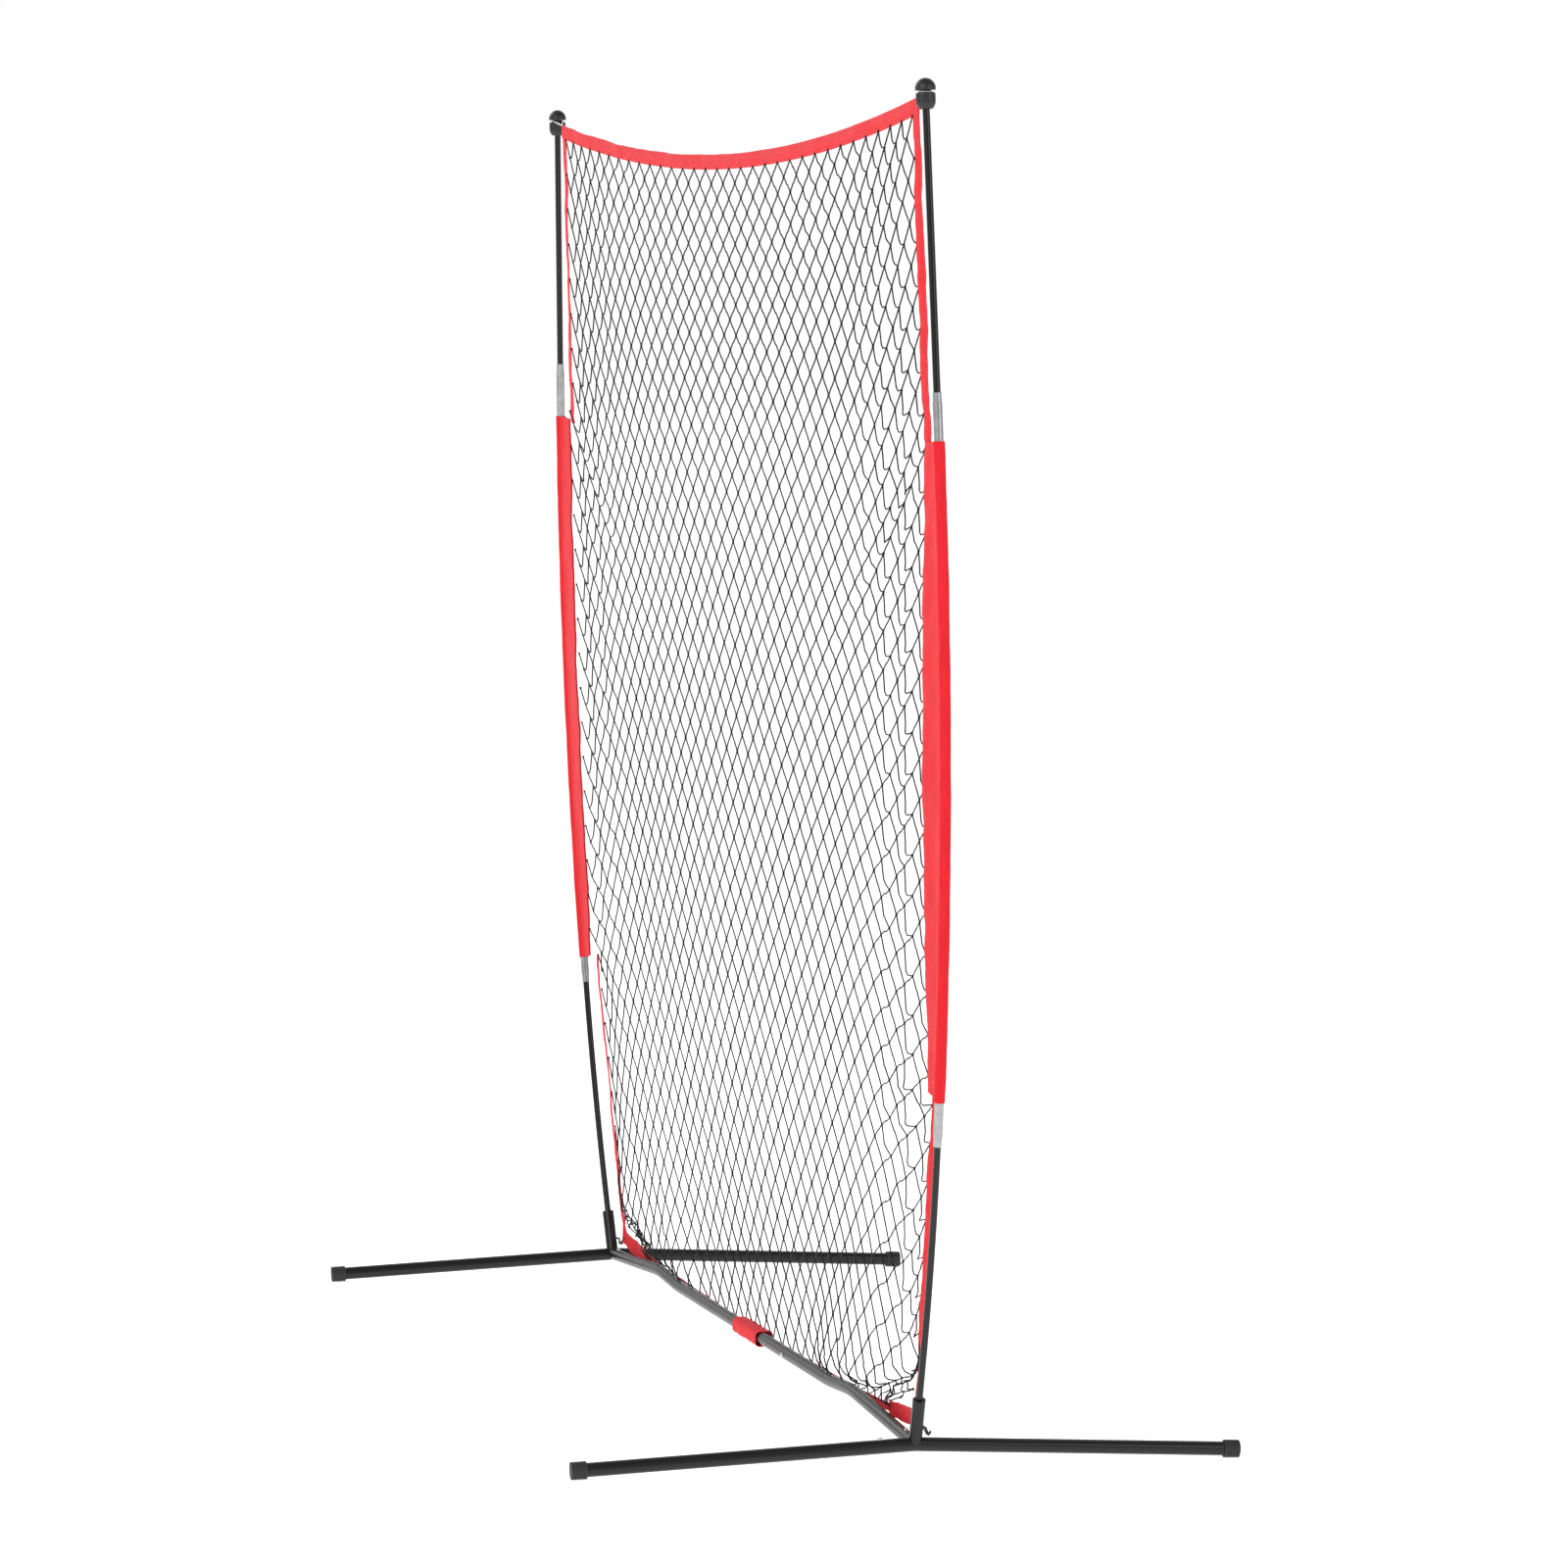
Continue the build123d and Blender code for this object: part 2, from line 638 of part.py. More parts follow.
    # Corner tab at the end of the bottom hem, with a peak where the side hem ends
    tab_x = base_span / 2 - tab_outer
    tab_foot = hub_height + tab_low
    peak_x = tab_x - tab_peak_width
    hem_end_x = base_span / 2 - tab_inner
    hem_end_z = bottom_hem_height + corner_hem_rise
    tab_outline = [
        (tab_x, tab_foot), (tab_x, hub_height + tab_peak), (peak_x, hub_height + tab_peak),
        (peak_x - tab_peak_run, tab_foot + tab_width), (hem_end_x, hem_end_z + tab_width / 2),
        (hem_end_x, hem_end_z - tab_width / 2),
    ]
    with BuildPart() as corner_tab:
        with BuildSketch(Plane.XZ.offset(-bottom_hem_back)):
            with BuildLine():
                Polyline(*[(side * x, z) for x, z in tab_outline], close=True)
            make_face()
        extrude(amount=hem_thickness / 2, both=True)
    keep(corner_tab, f"{end}_corner_tab")

    # Cord loop from the hook to the corner tab
    hook_low = Vector(hook_x, cord_back, hub_height + hook_at - hook_drop)
    eyelet = Vector(side * (tab_x - tab_inset), hook_low.Y, tab_foot + tab_loop_low)
    cord_run = eyelet - hook_low
    cord_width = hook_wire + 2 * corner_cord_gap
    with BuildPart() as corner_loop:
        with BuildSketch(Plane(origin=hook_low, x_dir=cord_run, z_dir=(0, 1, 0))):
            with Locations((cord_run.length / 2, 0)):
                SlotCenterToCenter(cord_run.length, cord_width + 2 * corner_cord)
                SlotCenterToCenter(cord_run.length, cord_width, mode=Mode.SUBTRACT)
        extrude(amount=corner_cord / 2, both=True)
    keep(corner_loop, f"{end}_corner_loop")

# Crossbar's middle tube
with BuildPart() as crossbar_middle:
    with BuildSketch(Plane(origin=(-seam_x, 0, middle_height), x_dir=(0, 1, 0), z_dir=(1, 0, 0))):
        Circle(crossbar_tube / 2)
        Circle(crossbar_bore / 2, mode=Mode.SUBTRACT)
    extrude(amount=2 * seam_x)
    for side in (1, -1):
        drill_button_hole(middle_clip(side), crossbar_tube)
keep(crossbar_middle, "crossbar_middle")

# Still halves of the six spring strips, folded at the far end
with BuildPart() as spring_backs:
    for side in (1, -1):
        seats = (
            (leg_clip(side), leg_plug_bore),
            (hub_clip(side), crossbar_plug_bore),
            (middle_clip(side), crossbar_plug_bore),
        )
        for clip, plug_bore in seats:
            rest = strip_top(plug_bore, seat_gap)
            fold = strip_length + fold_gap
            lip = strip_top(plug_bore, strip_gap)
            with BuildSketch(Plane(origin=clip.origin, x_dir=clip.x_dir, z_dir=-clip.y_dir)):
                with BuildLine():
                    Polyline(
                        (-strip_tail, -rest), (fold + strip_thickness, -rest),
                        (fold + strip_thickness, lip), (fold, lip),
                        (fold, strip_thickness - rest), (-strip_tail, strip_thickness - rest),
                        close=True,
                    )
                make_face()
            extrude(amount=strip_width / 2, both=True)
keep(spring_backs, "spring_backs")

# Top hem, hanging in a shallow bow between the corners
half = hem_width / 2
with BuildPart() as top_hem:
    with BuildSketch(net_plane):
        with BuildLine():
            for edge in (-half, half):
                end_y, middle_y = top_hem_y(hem_end) + edge, top_hem_y(0) + edge
                ThreePointArc((-hem_end, end_y), (0, middle_y), (hem_end, end_y))
            for x in (-hem_end, hem_end):
                Line((x, top_hem_y(x) - half), (x, top_hem_y(x) + half))
        make_face()
    extrude(amount=hem_thickness / 2, both=True)
keep(top_hem, "top_hem")

# Bottom hem, behind the crossbar from one corner tab to the other
right_line = [
    (base_span / 2 - tab_inner - soft_gap, bottom_hem_height + corner_hem_rise),
    (bend_x, bottom_hem_height + bottom_hem_rise),
    (strap_length, bottom_hem_height),
]
hem_line = right_line + [(-x, z) for x, z in right_line[::-1]]
half = bottom_hem_width / 2
with BuildPart() as bottom_hem:
    with BuildSketch(Plane.XZ.offset(-bottom_hem_back)):
        with BuildLine():
            upper = [(x, z + half) for x, z in hem_line]
            lower = [(x, z - half) for x, z in hem_line[::-1]]
            Polyline(*upper, *lower, close=True)
        make_face()
    extrude(amount=hem_thickness / 2, both=True)
keep(bottom_hem, "bottom_hem")

# Hook-and-loop strap round the crossbar and the bottom hem
strap_front = crossbar_tube / 2 + soft_gap
strap_back = bottom_hem_back + hem_thickness / 2 + soft_gap
strap_high = middle_height + strap_front
strap_low = min(middle_height - strap_front, bottom_hem_height - half - soft_gap)
with BuildPart() as centre_strap:
    with BuildSketch(Plane.YZ.offset(-strap_length / 2)):
        with Locations(((strap_back - strap_front) / 2, (strap_high + strap_low) / 2)):
            width, height = strap_back + strap_front, strap_high - strap_low
            RectangleRounded(width + 2 * strap_wall, height + 2 * strap_wall, strap_round + strap_wall)
            RectangleRounded(width, height, strap_round, mode=Mode.SUBTRACT)
    extrude(amount=strap_length)
keep(centre_strap, "centre_strap")

# Net panel inside the hems and the sleeves' inner edges, notched over the strap
inset = hem_width / 2 + soft_gap
top_x = net_point(1, hem_top_at, top_hem_inset + inset)[0]
notch_x = strap_length / 2 + soft_gap
notch_y = z_to_net(strap_high + strap_wall + soft_gap)
foot_y = z_to_net(bottom_hem_height + half + soft_gap)
tab_gap = 2 * soft_gap
right_edge = [
    (top_x, top_hem_y(top_x) - inset),
    net_point(1, sleeve_top + soft_gap, sleeve_top_inset + inset),
    net_point(1, sleeve_top, sleeve_top_inset + soft_gap),
    net_point(1, sleeve_bottom, sleeve_bottom_inset + soft_gap),
    net_point(1, sleeve_bottom - soft_gap, sleeve_bottom_inset + inset),
    net_point(1, lower_hem_at, lower_hem_inset + inset),
    *[(x - tab_gap, z_to_net(z + tab_gap)) for x, z in tab_outline[3:5]],
    *[(x, z_to_net(z + half + soft_gap)) for x, z in right_line],
    (notch_x, foot_y),
    (notch_x, notch_y),
]
with BuildPart() as net:
    with BuildSketch(net_plane):
        with BuildLine():
            ThreePointArc(
                (-top_x, right_edge[0][1]), (0, top_hem_y(0) - inset), (top_x, right_edge[0][1])
            )
            Polyline(*right_edge, *[(-x, y) for x, y in right_edge[::-1]])
        make_face()
    extrude(amount=net_thickness / 2, both=True)
keep(net, "net")
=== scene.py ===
import bpy
import numpy as np
from math import cos, pi, radians, sin
from mathutils import Matrix, Vector


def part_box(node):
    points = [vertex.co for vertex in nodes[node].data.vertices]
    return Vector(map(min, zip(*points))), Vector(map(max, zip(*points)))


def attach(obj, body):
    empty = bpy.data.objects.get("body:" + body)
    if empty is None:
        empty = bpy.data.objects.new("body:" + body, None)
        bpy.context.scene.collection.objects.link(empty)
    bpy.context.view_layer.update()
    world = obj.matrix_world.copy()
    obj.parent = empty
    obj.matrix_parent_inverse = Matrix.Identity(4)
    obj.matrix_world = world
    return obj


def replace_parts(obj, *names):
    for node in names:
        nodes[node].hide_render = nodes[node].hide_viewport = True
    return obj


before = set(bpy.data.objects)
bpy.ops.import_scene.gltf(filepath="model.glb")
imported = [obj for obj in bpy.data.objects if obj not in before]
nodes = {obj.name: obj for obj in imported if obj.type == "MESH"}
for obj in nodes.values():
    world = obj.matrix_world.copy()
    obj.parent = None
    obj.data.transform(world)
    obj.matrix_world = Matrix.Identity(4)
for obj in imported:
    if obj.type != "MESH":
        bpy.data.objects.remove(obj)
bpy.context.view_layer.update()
ends = {"right": 1, "left": -1}
print("frame loaded:", len(nodes), "nodes")

# camera, fitted to the hubs, poles, crossbar and feet

cameraLook = {
    "azimuth": 73.009,  # degrees, as pitch and roll are
    "pitch": 5.17, "roll": 0.462,
    "lens": 132.8,  # millimetres, as the sensor is
    "sensor": 36, "farthest": 200, "place": (9.2664, -2.7805, 1.8597),
}


def link(thing):
    bpy.context.scene.collection.objects.link(thing)


def addCamera():
    azimuth, pitch, roll = (radians(cameraLook[key]) for key in ("azimuth", "pitch", "roll"))
    right = Vector((cos(azimuth), sin(azimuth), 0))
    back = Vector((sin(azimuth) * cos(pitch), -cos(azimuth) * cos(pitch), sin(pitch)))
    up = back.cross(right)
    turnedRight = right * cos(roll) + up * sin(roll)
    turnedUp = up * cos(roll) - right * sin(roll)
    data = bpy.data.cameras.new("camera")
    data.lens = cameraLook["lens"]
    data.sensor_width = cameraLook["sensor"]
    data.clip_end = cameraLook["farthest"]
    camera = bpy.data.objects.new("camera", data)
    matrix = Matrix((turnedRight, turnedUp, back)).transposed().to_4x4()
    matrix.translation = Vector(cameraLook["place"])
    camera.matrix_world = matrix
    link(camera)
    bpy.context.scene.camera = camera


addCamera()
bpy.context.scene.view_settings.view_transform = "Standard"
print("camera set")


# shader maths on sockets

class Wire:
    def __init__(self, finish, socket):
        self.finish = finish
        self.socket = socket

    def maths(self, operation, first, second):
        return self.finish.add("ShaderNodeMath", {"operation": operation}, [first, second])[0]

    def __add__(self, other):
        return self.maths("ADD", self, other)

    __radd__ = __add__

    def __mul__(self, other):
        return self.maths("MULTIPLY", self, other)

    def __sub__(self, other):
        return self.maths("SUBTRACT", self, other)

    def __gt__(self, other):
        return self.maths("GREATER_THAN", self, other)

    def __lt__(self, other):
        return self.maths("LESS_THAN", self, other)


class Finish:
    def __init__(self, name):
        self.material = bpy.data.materials.new(name)
        self.material.use_nodes = True
        self.tree = self.material.node_tree
        self.shader = self.tree.nodes["Principled BSDF"]

    def add(self, kind, settings=None, inputs=None):
        node = self.tree.nodes.new(kind)
        for key, value in (settings or {}).items():
            if key == "stops":
                ramp = node.color_ramp.elements
                while len(ramp) < len(value):
                    ramp.new(0.5)
                for stop, (place, level) in zip(ramp, value):
                    stop.position = place
                    stop.color = (level, level, level, 1)
            else:
                setattr(node, key, value)
        pairs = inputs.items() if isinstance(inputs, dict) else enumerate(inputs or [])
        for key, value in pairs:
            self.feed(node.inputs[key], value)
        return [Wire(self, socket) for socket in node.outputs]

    def feed(self, socket, value):
        if isinstance(value, Wire):
            self.tree.links.new(value.socket, socket)
        else:
            socket.default_value = value

    def set(self, **values):
        for key, value in values.items():
            name = key.replace("_", " ")
            if isinstance(value, tuple):
                value = value + (1,)
            self.feed(self.shader.inputs[name], value)

    def place(self, scale=(1, 1, 1), kind=3):
        # Object coordinates in metres, stretched per axis
        point = self.add("ShaderNodeTexCoord")[kind]
        return self.add("ShaderNodeMapping", None, {"Vector": point, "Scale": scale})[0]

    def cloth(self, scale=(1, 1, 1)):
        # The piece's own UV map, in metres across and along
        return self.place(scale, 2)

    def noise(self, vector, scale, detail=3.0, rough=0.5):
        values = {"Vector": vector, "Scale": scale, "Detail": detail, "Roughness": rough}
        return self.add("ShaderNodeTexNoise", None, values)[0]

    def ramp(self, value, *stops):
        return self.add("ShaderNodeValToRGB", {"stops": stops}, [value])[0]

    def rise(self, value, start, full):
        return self.ramp(value, (start, 0), (full, 1))

    def wave(self, value, turns):
        # A wave from 0 to 1 with so many turns per metre
        angle = value * (2 * pi * turns)
        return self.add("ShaderNodeMath", {"operation": "SINE"}, [angle])[0] * 0.5 + 0.5

    def mix(self, share, first, second):
        node = self.tree.nodes.new("ShaderNodeMix")
        node.data_type = "RGBA"
        for socket, value in ((node.inputs[0], share), (node.inputs[6], first), (node.inputs[7], second)):
            self.feed(socket, value + (1,) if isinstance(value, tuple) else value)
        return Wire(self, node.outputs[2])

    def bump(self, height, depth, strength=1.0):
        values = {"Height": height, "Distance": depth, "Strength": strength}
        self.set(Normal=self.add("ShaderNodeBump", None, values)[0])


def paintSlot(name, finish):
    node = nodes[name]
    node.data.materials.clear()
    node.data.materials.append(finish.material)


# tube paint

tubePaint = {
    "black": (0.006, 0.006, 0.0062), "worn": (0.035, 0.033, 0.030),
    "peel": 900,  # bumps of the powder coat, per metre
    "peelDepth": 0.00006,
    "clouds": 26,  # patches of uneven gloss, per metre
    "cloudGloss": 0.12, "scuffStretch": (40, 9, 160), "scuffs": 6.0, "scuffBump": 0.6,
    "markRise": (0.66, 0.72),  # scuffs this strong mark the paint
    "markShare": 0.35, "markGloss": 0.2, "gloss": 0.27, "coat": 0.12, "coatGloss": 0.18,
    "shine": 0.32,
}


def tubeFinish():
    look = tubePaint
    finish = Finish("tubePaint")
    point = finish.place()
    peel = finish.noise(point, look["peel"], 2.0)
    cloud = finish.noise(point, look["clouds"], 4.0, 0.6)
    scuff = finish.noise(finish.place(look["scuffStretch"]), look["scuffs"], 5.0, 0.7)
    marks = finish.rise(scuff, *look["markRise"])
    finish.set(
        Base_Color=finish.mix(marks * look["markShare"], look["black"], look["worn"]),
        Roughness=look["gloss"] + cloud * look["cloudGloss"] + marks * look["markGloss"],
        Coat_Weight=look["coat"],
        Coat_Roughness=look["coatGloss"],
        Specular_IOR_Level=look["shine"],
    )
    finish.bump(peel + scuff * look["scuffBump"], look["peelDepth"])
    return finish


# pole rods

poleRod = {
    "black": (0.005, 0.005, 0.0052), "grey": (0.014, 0.014, 0.014),
    "streakStretch": (700, 700, 6), "streakGloss": 0.16, "streakDepth": 0.00005,
    "dust": 140,  # specks per metre
    "speckRise": (0.6, 0.75), "speckShare": 0.5, "speckGloss": 0.12, "gloss": 0.2,
    "coat": 0.12, "coatGloss": 0.1, "shine": 0.32,
}


def rodFinish():
    look = poleRod
    finish = Finish("poleRod")
    streak = finish.noise(finish.place(look["streakStretch"]), 1.0, 4.0, 0.6)
    dust = finish.noise(finish.place(), look["dust"], 3.0, 0.6)
    specks = finish.rise(dust, *look["speckRise"])
    finish.set(
        Base_Color=finish.mix(specks * look["speckShare"], look["black"], look["grey"]),
        Roughness=look["gloss"] + streak * look["streakGloss"] + specks * look["speckGloss"],
        Coat_Weight=look["coat"],
        Coat_Roughness=look["coatGloss"],
        Specular_IOR_Level=look["shine"],
    )
    finish.bump(streak, look["streakDepth"])
    return finish


# joint ferrules

ferruleMetal = {
    "bright": (0.52, 0.52, 0.53), "dull": (0.22, 0.22, 0.23),
    "drawnStretch": (1600, 1600, 14), "turnedStretch": (20, 20, 1500),
    "smudges": 60,  # per metre
    "gloss": 0.2, "drawnGloss": 0.16, "smudgeGloss": 0.12, "turnedBump": 0.4,
    "depth": 0.00004,
}


def ferruleFinish():
    look = ferruleMetal
    finish = Finish("ferruleMetal")
    drawn = finish.noise(finish.place(look["drawnStretch"]), 1.0, 4.0, 0.7)
    turned = finish.noise(finish.place(look["turnedStretch"]), 1.0, 2.0)
    smudge = finish.noise(finish.place(), look["smudges"], 4.0, 0.6)
    finish.set(
        Base_Color=finish.mix(smudge, look["bright"], look["dull"]),
        Metallic=1.0,
        Roughness=look["gloss"] + drawn * look["drawnGloss"] + smudge * look["smudgeGloss"],
    )
    finish.bump(drawn + turned * look["turnedBump"], look["depth"])
    return finish


# springs and buttons

buttonSteel = {
    "bright": (0.74, 0.72, 0.66), "zinc": (0.5, 0.49, 0.46),
    "scratchStretch": (900, 900, 60),
    "crystals": 420,  # per metre
    "gloss": 0.26, "scratchGloss": 0.2, "depth": 0.00003,
}


def buttonFinish():
    look = buttonSteel
    finish = Finish("buttonSteel")
    point = finish.place()
    scratch = finish.noise(finish.place(look["scratchStretch"]), 1.0, 4.0, 0.7)
    zinc = finish.noise(point, look["crystals"], 3.0)
    finish.set(
        Base_Color=finish.mix(zinc, look["bright"], look["zinc"]),
        Metallic=1.0,
        Roughness=look["gloss"] + scratch * look["scratchGloss"],
    )
    finish.bump(scratch, look["depth"])
    return finish


# moulded knobs, rubber caps and hooks

moulded = {
    "knobPlastic": {"black": (0.008, 0.008, 0.0085), "gloss": 0.42, "grain": 700, "depth": 0.00008},
    "capRubber": {"black": (0.020, 0.020, 0.021), "gloss": 0.62, "grain": 1100, "depth": 0.0001},
    "hookPlastic": {"black": (0.015, 0.015, 0.016), "gloss": 0.5, "grain": 800, "depth": 0.00006},
}
mouldedDust = {
    "patches": 70, "rise": (0.56, 0.72), "share": 0.4,
    "paler": (2.6, 0.006),  # times the black, and added to it
    "gloss": 0.08, "grainGloss": 0.1,
}


def mouldedFinish(name):
    look, dusty = moulded[name], mouldedDust
    finish = Finish(name)
    point = finish.place()
    fine = finish.noise(point, look["grain"], 3.0, 0.6)
    dust = finish.noise(point, dusty["patches"], 4.0, 0.65)
    pale = finish.rise(dust, *dusty["rise"])
    times, more = dusty["paler"]
    grey = tuple(level * times + more for level in look["black"])
    finish.set(
        Base_Color=finish.mix(pale * dusty["share"], look["black"], grey),
        Roughness=look["gloss"] + fine * dusty["grainGloss"] + pale * dusty["gloss"],
    )
    finish.bump(fine, look["depth"])
    return finish


# red polyester of the hems, sleeves, tabs and strap

redCloth = {
    "red": (0.76, 0.010, 0.020), "deep": (0.54, 0.006, 0.012),
    "thread": (0.86, 0.05, 0.06),
    "yarn": 900,  # yarns per metre
    "slubStretch": (1, 0.16, 1), "creaseStretch": (1, 0.55, 1), "creases": 34,
    # the crease ramp and share paint shade into the creases, towards the deep red
    "creaseShadeRise": (0.3, 0.72), "creaseShadeShare": 0.55, "slubShare": 0.25,
    "stitch": 330,  # stitches per metre
    "stitchGap": 0.28, "stitchShare": 0.75,
    "row": 0.0006,  # half the width of a row of stitches
    "pressed": 300,  # one over the reach of the dent beside a row
    # share of painted shade in the dent beside each stitched row, towards the deep red
    "dentShadeShare": 0.35, "rough": 0.62, "weaveRough": 0.16, "sheen": 0.06,
    "sheenRough": 0.4, "shine": 0.22, "depth": 0.0006,
    "bumps": {"weave": 0.12, "crease": 1.1, "slub": 0.15, "stitch": 0.3, "pressed": 0.8},
}


def clothFinish(name, rows):
    # rows are the places of the stitched rows across the cloth, in metres
    look, bumps = redCloth, redCloth["bumps"]
    finish = Finish(name)
    point = finish.cloth()
    split = finish.add("ShaderNodeSeparateXYZ", None, [point])
    across, along = split[0], split[1]
    warp = finish.wave(across, look["yarn"])
    weft = finish.wave(along, look["yarn"])
    weave = warp * 0.5 + weft * 0.5
    slub = finish.noise(finish.cloth(look["slubStretch"]), look["yarn"], 3.0, 0.6)
    crease = finish.noise(finish.cloth(look["creaseStretch"]), look["creases"], 4.0, 0.55)
    # painted shade, strongest where the crease noise is high
    shade = finish.rise(crease, *look["creaseShadeRise"])
    stitched = 0
    pressed = 0
    for row in rows:
        gap = finish.add("ShaderNodeMath", {"operation": "ABSOLUTE"}, [across - row])[0]
        inRow = gap < look["row"]
        dash = finish.wave(along, look["stitch"]) > look["stitchGap"]
        stitched = inRow * dash + stitched
        pressed = finish.ramp(gap * look["pressed"], (0.0, 1), (1.0, 0)) + pressed
    # painted shade: the creases are coloured towards the deep red; the slub share is the yarn's own
    # uneven tone
    base = finish.mix(shade * look["creaseShadeShare"] + slub * look["slubShare"], look["red"], look["deep"])
    # painted shade: the cloth is coloured darker in the dent beside each stitched row
    dark = finish.mix(pressed * look["dentShadeShare"], base, look["deep"])
    height = weave * bumps["weave"] + crease * bumps["crease"] + slub * bumps["slub"]
    finish.set(
        Base_Color=finish.mix(stitched * look["stitchShare"], dark, look["thread"]),
        Roughness=look["rough"] + weave * look["weaveRough"],
        Sheen_Weight=look["sheen"],
        Sheen_Roughness=look["sheenRough"],
        Specular_IOR_Level=look["shine"],
    )
    finish.bump(height + stitched * bumps["stitch"] - pressed * bumps["pressed"], look["depth"])
    return finish


# braided cords

braidLook = {
    "elasticBraid": {"light": (0.78, 0.74, 0.65), "dark": (0.60, 0.56, 0.47)},
    "cornerBraid": {"light": (0.02, 0.019, 0.019), "dark": (0.008, 0.008, 0.008)},
}
braidWeave = {
    "along": 60, "round": 3, "grime": 160, "rough": 0.75, "crossRough": 0.1,
    "sheen": 0.3, "depth": 0.0003,
}


def braidFinish(name):
    look, weave = braidLook[name], braidWeave
    finish = Finish(name)
    split = finish.add("ShaderNodeSeparateXYZ", None, [finish.cloth()])
    left = finish.wave(split[0] * weave["along"] + split[1] * weave["round"], 1)
    right = finish.wave(split[0] * weave["along"] - split[1] * weave["round"], 1)
    braid = left * right
    grime = finish.noise(finish.place(), weave["grime"], 3.0)
    finish.set(
        Base_Color=finish.mix(grime, look["light"], look["dark"]),
        Roughness=weave["rough"] + braid * weave["crossRough"],
        Sheen_Weight=weave["sheen"],
    )
    finish.bump(braid, weave["depth"])
    return finish


# twine of the net

twine = {
    "black": (0.003, 0.003, 0.0032), "grey": (0.009, 0.009, 0.0095), "strandShare": 0.5,
    "fuzz": 1500,  # fibres per metre
    "fuzzShare": 0.3,
    "wraps": 900,  # turns of a knot, per metre
    "rough": 0.5, "fuzzRough": 0.2, "shine": 0.2, "depth": 0.00025, "knotDepth": 0.0004,
}


def twineFinish(name, turns):
    # turns are the twine's twists over one row of mesh
    finish = Finish(name)
    split = finish.add("ShaderNodeSeparateXYZ", None, [finish.cloth()])
    strand = finish.wave(split[0] * turns + split[1] * 3, 1)
    fuzz = finish.noise(finish.place(), twine["fuzz"], 2.0)
    grey = strand * twine["strandShare"] + fuzz * twine["fuzzShare"]
    finish.set(
        Base_Color=finish.mix(grey, twine["black"], twine["grey"]),
        Roughness=twine["rough"] + fuzz * twine["fuzzRough"],
        Specular_IOR_Level=twine["shine"],
    )
    finish.bump(strand + fuzz * twine["fuzzShare"], twine["depth"])
    return finish


def knotFinish():
    finish = Finish("knotTwine")
    wrap = finish.noise(finish.place(), twine["wraps"], 3.0, 0.6)
    finish.set(
        Base_Color=finish.mix(wrap, twine["black"], twine["grey"]),
        Roughness=twine["rough"] + wrap * twine["fuzzRough"],
        Specular_IOR_Level=twine["shine"],
    )
    finish.bump(wrap, twine["knotDepth"])
    return finish


paint = tubeFinish()
rod = rodFinish()
metal = ferruleFinish()
steel = buttonFinish()
plastic = mouldedFinish("knobPlastic")
rubber = mouldedFinish("capRubber")
hook = mouldedFinish("hookPlastic")
painted = {
    paint: ("welded_leg", "leg_stub", "crossbar_stub", "pole_socket", "plug_leg", "crossbar_end"),
    rod: ("lower_pole", "middle_pole", "upper_pole"),
    metal: ("lower_ferrule", "upper_ferrule"),
    steel: ("leg_button", "hub_button", "middle_button"),
    rubber: ("front_cap", "back_cap"),
    plastic: ("knob",),
    hook: ("corner_hook",),
}
for end in ends:
    for finish, parts in painted.items():
        for part in parts:
            paintSlot(f"{end}_{part}", finish)
paintSlot("crossbar_middle", paint)
paintSlot("spring_backs", steel)
print("frame painted")


# places read from the CAD nodes

def cadPoints(name):
    mesh = nodes[name].data
    points = np.zeros(len(mesh.vertices) * 3)
    mesh.vertices.foreach_get("co", points)
    return points.reshape(-1, 3)


def farCorner(name, x, z):
    # The corner of a flat CAD piece that lies furthest that way, midway through its thickness
    points = cadPoints(name)
    reach = points[:, 0] * x + points[:, 2] * z
    return points[reach > reach.max() - 0.0003].mean(axis=0)


class PoleLine:
    def __init__(self, end):
        parts = [cadPoints(f"{end}_{part}_pole") for part in ("lower", "middle", "upper")]
        points = np.vstack(parts)
        self.x = np.polyfit(points[:, 2], points[:, 0], 6)
        self.y = np.polyfit(points[:, 2], points[:, 1], 1)

    def at(self, z):
        return np.stack([np.polyval(self.x, z), np.polyval(self.y, z), z], axis=-1)

    def lean(self, z):
        return np.polyval(np.polyder(self.x), z)


poleLines = {end: PoleLine(end) for end in ends}


def ripple(along, across, seed, waves=5, longest=0.3, flatten=1.0):
    # Soft folds: a sum of sines with settled lengths and phases, from -1 to 1
    dice = np.random.default_rng(seed)
    total = 0
    for step in range(waves):
        length = longest / 1.7**step
        turn = dice.uniform(-0.6, 0.6) * flatten
        phase = dice.uniform(0, 2 * pi)
        weight = 1 / 1.45**step
        total = total + weight * np.sin(2 * pi * (along + turn * across) / length + phase)
    return total / 2.2


# cloth strips

